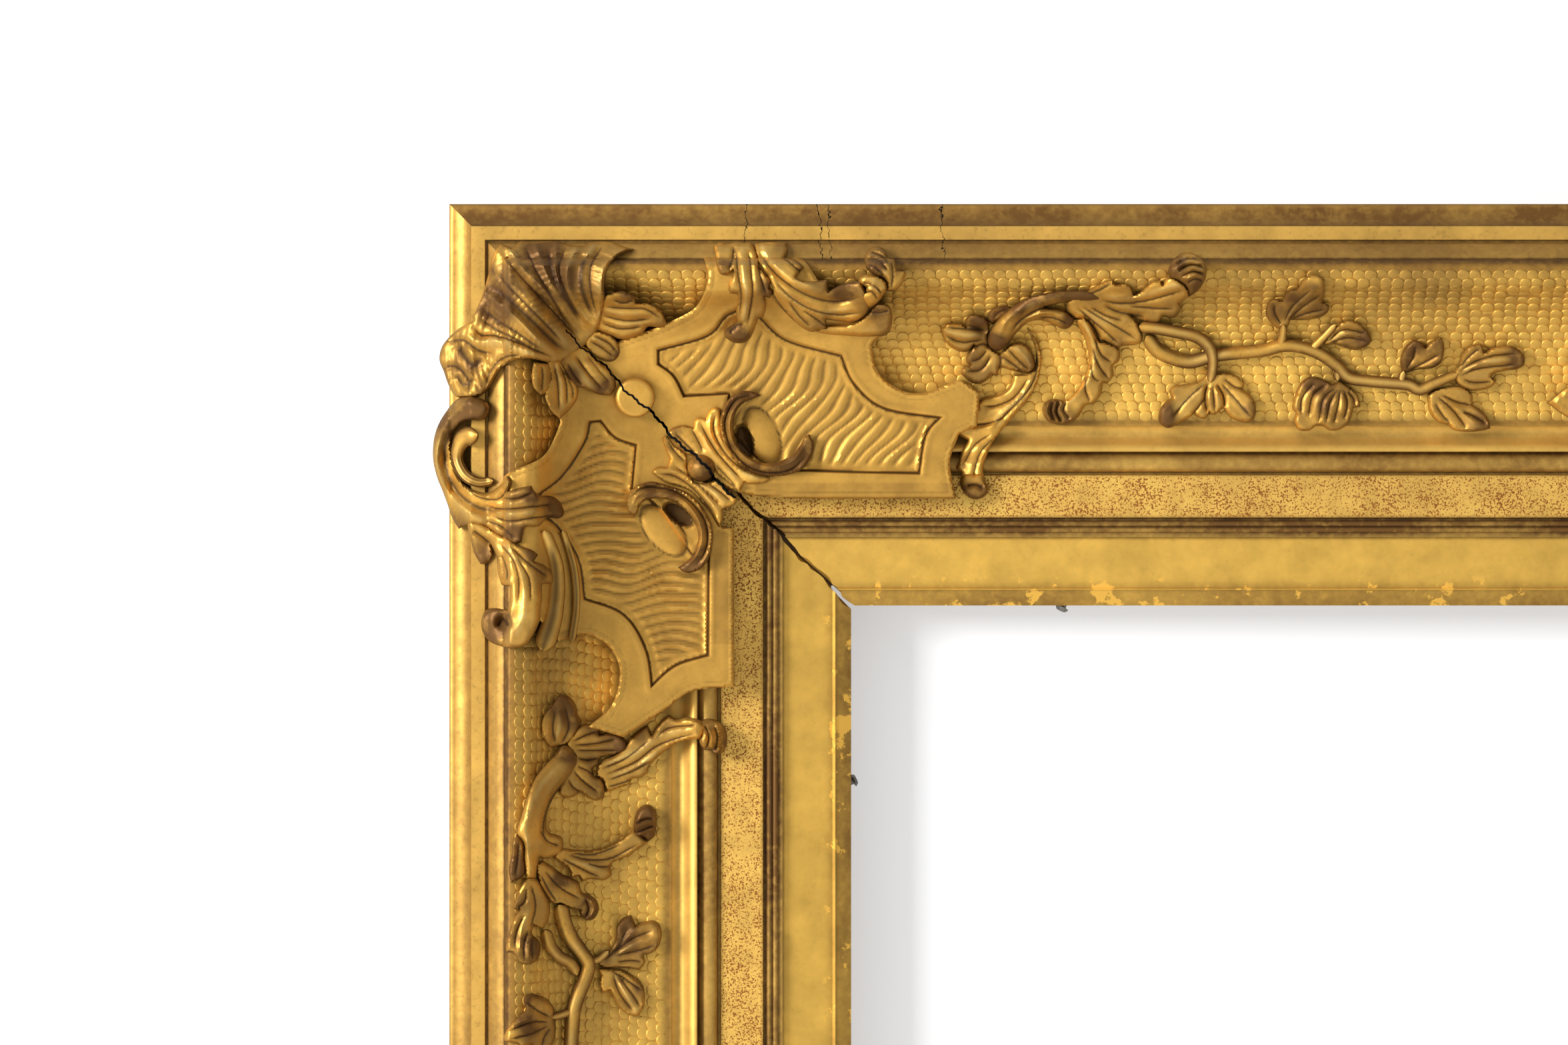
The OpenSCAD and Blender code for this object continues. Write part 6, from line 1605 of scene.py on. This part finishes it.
def plain(name, colour, rough, metal=0.0, grain=None):
    mat, tree, bsdf = shader(name)
    coords = object_places(tree)
    stretch = tree.nodes.new("ShaderNodeMapping")
    tree.links.new(coords, stretch.inputs["Vector"])
    stretch.inputs["Scale"].default_value = grain or (1, 1, 1)
    f = noise(tree, stretch.outputs[0], 60.0)
    dark = tuple(c * 0.6 for c in colour[:3]) + (1,)
    tree.links.new(mix_colour(tree, ramp(tree, f, 0.35, 0.65), dark, colour), bsdf.inputs["Base Color"])
    bsdf.inputs["Roughness"].default_value = rough
    bsdf.inputs["Metallic"].default_value = metal
    return mat


MOULDING = {"carved": None, "patina": (0.19, 0.088, 0.02, 1)}
RUBBED = {"Fleck": (0.93, 0.53, 0.085, 1), "Fleck_Size": 95.0, "Fleck_Start": 0.59}
gilt_outer = gilding("gilt_outer", (0.90, 0.53, 0.115, 1), Stain_Amount=0.35, Ledge_Dirt=0.5, Metal=0.75,
                     checks=True, **MOULDING)
gilt_cove = gilding("gilt_cove", (0.82, 0.45, 0.085, 1), Stain_Amount=0.4, Ledge_Dirt=0.4, Metal=0.75,
                    **MOULDING)
gilt_scales = gilding("gilt_scales", (0.94, 0.56, 0.108, 1), Stain_Amount=0.45, Speck_Amount=0.15,
                      Ledge_Dirt=0.1, Metal=0.5, **MOULDING)
gilt_frieze = gilding("gilt_frieze", (1.0, 0.61, 0.135, 1), Stain_Amount=0.2, Speck_Amount=0.1,
                      Ledge_Dirt=0.3, Metal=0.7, bump=0.45, **MOULDING)
gilt_slip = gilding("gilt_slip", (0.88, 0.53, 0.10, 1), Stain_Amount=0.2, Speck_Amount=0.08, Ledge_Dirt=0.15,
                    Metal=0.65, flecks=RUBBED, **MOULDING)
gilt_ornament = gilding("gilt_ornament", (0.84, 0.46, 0.085, 1), carved=0.95, cracked=True, Stain_Amount=0.45,
                        Stain_Size=34.0, Ledge_Dirt=0.25, Metal=0.82, patina=(0.135, 0.06, 0.017, 1))
gilt_plate = gilding("gilt_plate", (0.80, 0.445, 0.085, 1), carved=0.5, cracked=True, Stain_Amount=0.3,
                     Speck_Amount=0.12, Ledge_Dirt=0.3, Metal=0.78)
wood_across = plain("wood_across", (0.38, 0.24, 0.13, 1), 0.75, 0.0, (0.12, 1, 1))
wood_upright = plain("wood_upright", (0.38, 0.24, 0.13, 1), 0.75, 0.0, (1, 1, 0.12))
key_wood = plain("key_wood", (0.5, 0.34, 0.19, 1), 0.7, 0.0, (1, 1, 1))
steel = plain("steel", (0.33, 0.31, 0.28, 1), 0.5, 0.8)
brass = plain("brass", (0.62, 0.45, 0.18, 1), 0.38, 0.9)

# ---------------------------------------------------------------- pieces
SIDES = ("top", "bottom", "left", "right")
for side in SIDES:
    rail("outer_moulding_" + side, OUTER, BACK_T, [], side, gilt_outer)
    rail("cove_rail_" + side, COVE, BACK_T, COVE_BACK, side, gilt_cove)
    rail("frieze_rail_" + side, FRIEZE, BACK_T, [], side, gilt_frieze)
    rail("slip_" + side, SLIP, BACK_T, [], side, gilt_slip)

shape = scale_seed()
scatter = scatter_tree()
rng = np.random.default_rng(7)
for side in SIDES:
    scales(side, shape, scatter, gilt_scales, rng)
bpy.data.objects.remove(shape)


def carved(masses, raised):
    piece = Carving()
    for view, outline, tops, grooves, ridges, extra in masses:
        mass(piece, view, outline, tops, grooves, ridges, raised, **extra)
    return piece


carved(SHELL, True).build("shell", gilt_ornament, "gilt_ornament", CORNERS)

crescents = carved(CRESCENTS, True)
boss(crescents, BALL)
crescents.build("crescents", gilt_ornament, "gilt_ornament", CORNERS)

side_scroll = carved(SIDE_SCROLL, True)
tube(side_scroll, SIDE_TUBE)
side_scroll.build("side_scroll", gilt_ornament, "gilt_ornament", CORNERS)

carved(CREST_LEAF, True).build("crest_leaf", gilt_ornament, "gilt_ornament", CORNERS)

for cracked, corners in ((True, CORNERS[:1]), (False, CORNERS[1:])):
    cartouche = Carving()
    relief(cartouche, PLATE_OUTLINE,
           [(FIELD_RIGHT, waves_right, SHALLOW_WAVE), (FIELD_LEFT, waves_left, DEEP_WAVE)],
           cracked=cracked, eyes=EYES)
    for trumpet in TRUMPETS:
        tube(cartouche, trumpet, raised=True, flutes=2, bulb=1.0)
    boss(cartouche, DISC, 0.25)
    cartouche.build("cartouche", gilt_plate, "gilt_ornament", corners)

rail_spray = carved(RAIL_SPRAY, False)
for vine in RAIL_VINES:
    tube(rail_spray, vine, flutes=0, bulb=1.0)
rail_spray.build("rail_spray", gilt_ornament, "gilt_ornament", CORNERS)

stile_spray = carved(STILE_SPRAY, False)
for vine in STILE_VINES:
    tube(stile_spray, vine, flutes=0, bulb=1.0)
for points in STILE_LEAVES:
    leaf(stile_spray, points, raised=False)
stile_spray.build("stile_spray", gilt_ornament, "gilt_ornament", CORNERS)

centre = Carving()
relief(centre, CENTRE_OUTLINE, [(CENTRE_FIELD, waves_left, DEEP_WAVE)], 5.0)
tube(centre, CENTRE_TUBE, raised=True)
for points in CENTRE_RIBS:
    leaf(centre, points)
# Its right half is the left one mirrored
half_marks = np.vstack(centre.marks)
v_half = to_metres(np.vstack(centre.places))
for suffix, sz in (("_top", 1), ("_bottom", -1)):
    v_all = np.vstack([v_half * [1, 1, sz], v_half * [-1, 1, sz]])
    f_one = centre.faces if sz > 0 else [f[::-1] for f in centre.faces]
    f_two = [[i + len(v_half) for i in f[::-1]] for f in f_one]
    obj = mesh_object("carved_centre_cartouche" + suffix, v_all, f_one + f_two,
                      np.vstack([half_marks, half_marks]))
    obj.data.materials.append(gilt_plate)
    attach(obj, "frame")
    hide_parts("centre_cartouche" + suffix)

# Nodes that the scene shows as the solids are
finishes = {
    "back_frame_top": wood_across, "back_frame_bottom": wood_across,
    "back_frame_left": wood_upright, "back_frame_right": wood_upright,
    "mitre_keys": key_wood, "retaining_screws": steel,
    "strap_left": brass, "strap_right": brass, "d_ring_left": brass, "d_ring_right": brass,
    "strap_screws": brass,
}
for node, material in finishes.items():
    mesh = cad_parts[node].data
    mesh.materials.clear()
    mesh.materials.append(material)

# ---------------------------------------------------------------- wall, floor, light and camera
def either(tree, chooser, first, second, end):
    """Leads the first shader to the end, or the second where the chooser is 1."""
    n = tree.nodes.new("ShaderNodeMixShader")
    for i, output in enumerate((chooser, first, second)):
        tree.links.new(output, n.inputs[i])
    tree.links.new(n.outputs[0], end)


def flat_sheet(name, corners, material):
    mesh = bpy.data.meshes.new(name)
    mesh.from_pydata(corners, [], [(0, 1, 2, 3)])
    mesh.materials.append(material)
    obj = bpy.data.objects.new(name, mesh)
    bpy.context.scene.collection.objects.link(obj)
    return obj


# The wall is seen from the front alone and takes no part in shadows and reflections
wall_mat, wall_tree, wall_paint = shader("white_wall")
wall_paint.inputs["Base Color"].default_value = (0.72, 0.72, 0.73, 1)
wall_paint.inputs["Roughness"].default_value = 0.9
wall_paint.inputs["Emission Color"].default_value = (1, 1, 1, 1)
wall_paint.inputs["Emission Strength"].default_value = 0.38
see_through = wall_tree.nodes.new("ShaderNodeBsdfTransparent")
facing = wall_tree.nodes.new("ShaderNodeNewGeometry")
either(wall_tree, facing.outputs["Backfacing"], wall_paint.outputs[0], see_through.outputs[0],
       wall_tree.nodes["Material Output"].inputs["Surface"])
wall = flat_sheet("wall", [(-3, WALL_Y, FLOOR_Z), (3, WALL_Y, FLOOR_Z), (3, WALL_Y, 3), (-3, WALL_Y, 3)],
                  wall_mat)
wall.visible_shadow = False
wall.visible_diffuse = False
wall.visible_glossy = False

floor_mat, _, floor_paint = shader("pale_floor")
floor_paint.inputs["Base Color"].default_value = (0.82, 0.82, 0.81, 1)
floor_paint.inputs["Roughness"].default_value = 0.8
floor = flat_sheet("floor", [(-4, -4, FLOOR_Z), (4, -4, FLOOR_Z), (4, 4, FLOOR_Z), (-4, 4, FLOOR_Z)],
                   floor_mat)

# The world looks white to the camera and gives half as much light
world = bpy.data.worlds.new("world")
bpy.context.scene.world = world
world.use_nodes = True
nodes = world.node_tree.nodes
seen_white = nodes["Background"]
seen_white.inputs["Color"].default_value = (1, 1, 1, 1)
soft_light = nodes.new("ShaderNodeBackground")
soft_light.inputs["Color"].default_value = (1, 1, 1, 1)
soft_light.inputs["Strength"].default_value = 0.5
ray = nodes.new("ShaderNodeLightPath")
either(world.node_tree, ray.outputs["Is Camera Ray"], soft_light.outputs[0], seen_white.outputs[0],
       nodes["World Output"].inputs["Surface"])


def lamp(name, place, aim, size, power):
    data = bpy.data.lights.new(name, "AREA")
    data.shape = "RECTANGLE"
    data.size, data.size_y = size
    data.energy = power
    obj = bpy.data.objects.new(name, data)
    obj.location = place
    obj.rotation_euler = (Vector(aim) - Vector(place)).to_track_quat("-Z", "Y").to_euler()
    bpy.context.scene.collection.objects.link(obj)


KEY_PLACE, KEY_AIM, KEY_SIZE, KEY_WATTS = (-2.5, -1.7, 1.05), (-0.3, 0, 0.2), (0.9, 0.9), 84
lamp("key", KEY_PLACE, KEY_AIM, KEY_SIZE, KEY_WATTS)

# Straight on, in front of the middle of the photograph
CAMERA_PLACE, LENS_MM, SENSOR_MM = (-0.4857, -3.04, 0.3987), 137.8, 36.0
camera = bpy.data.cameras.new("camera")
camera.sensor_width = SENSOR_MM
camera.lens = LENS_MM
cam = bpy.data.objects.new("camera", camera)
cam.location = CAMERA_PLACE
cam.rotation_euler = (math.pi / 2, 0, 0)
bpy.context.scene.collection.objects.link(cam)
bpy.context.scene.camera = cam
bpy.context.scene.view_settings.view_transform = "Standard"
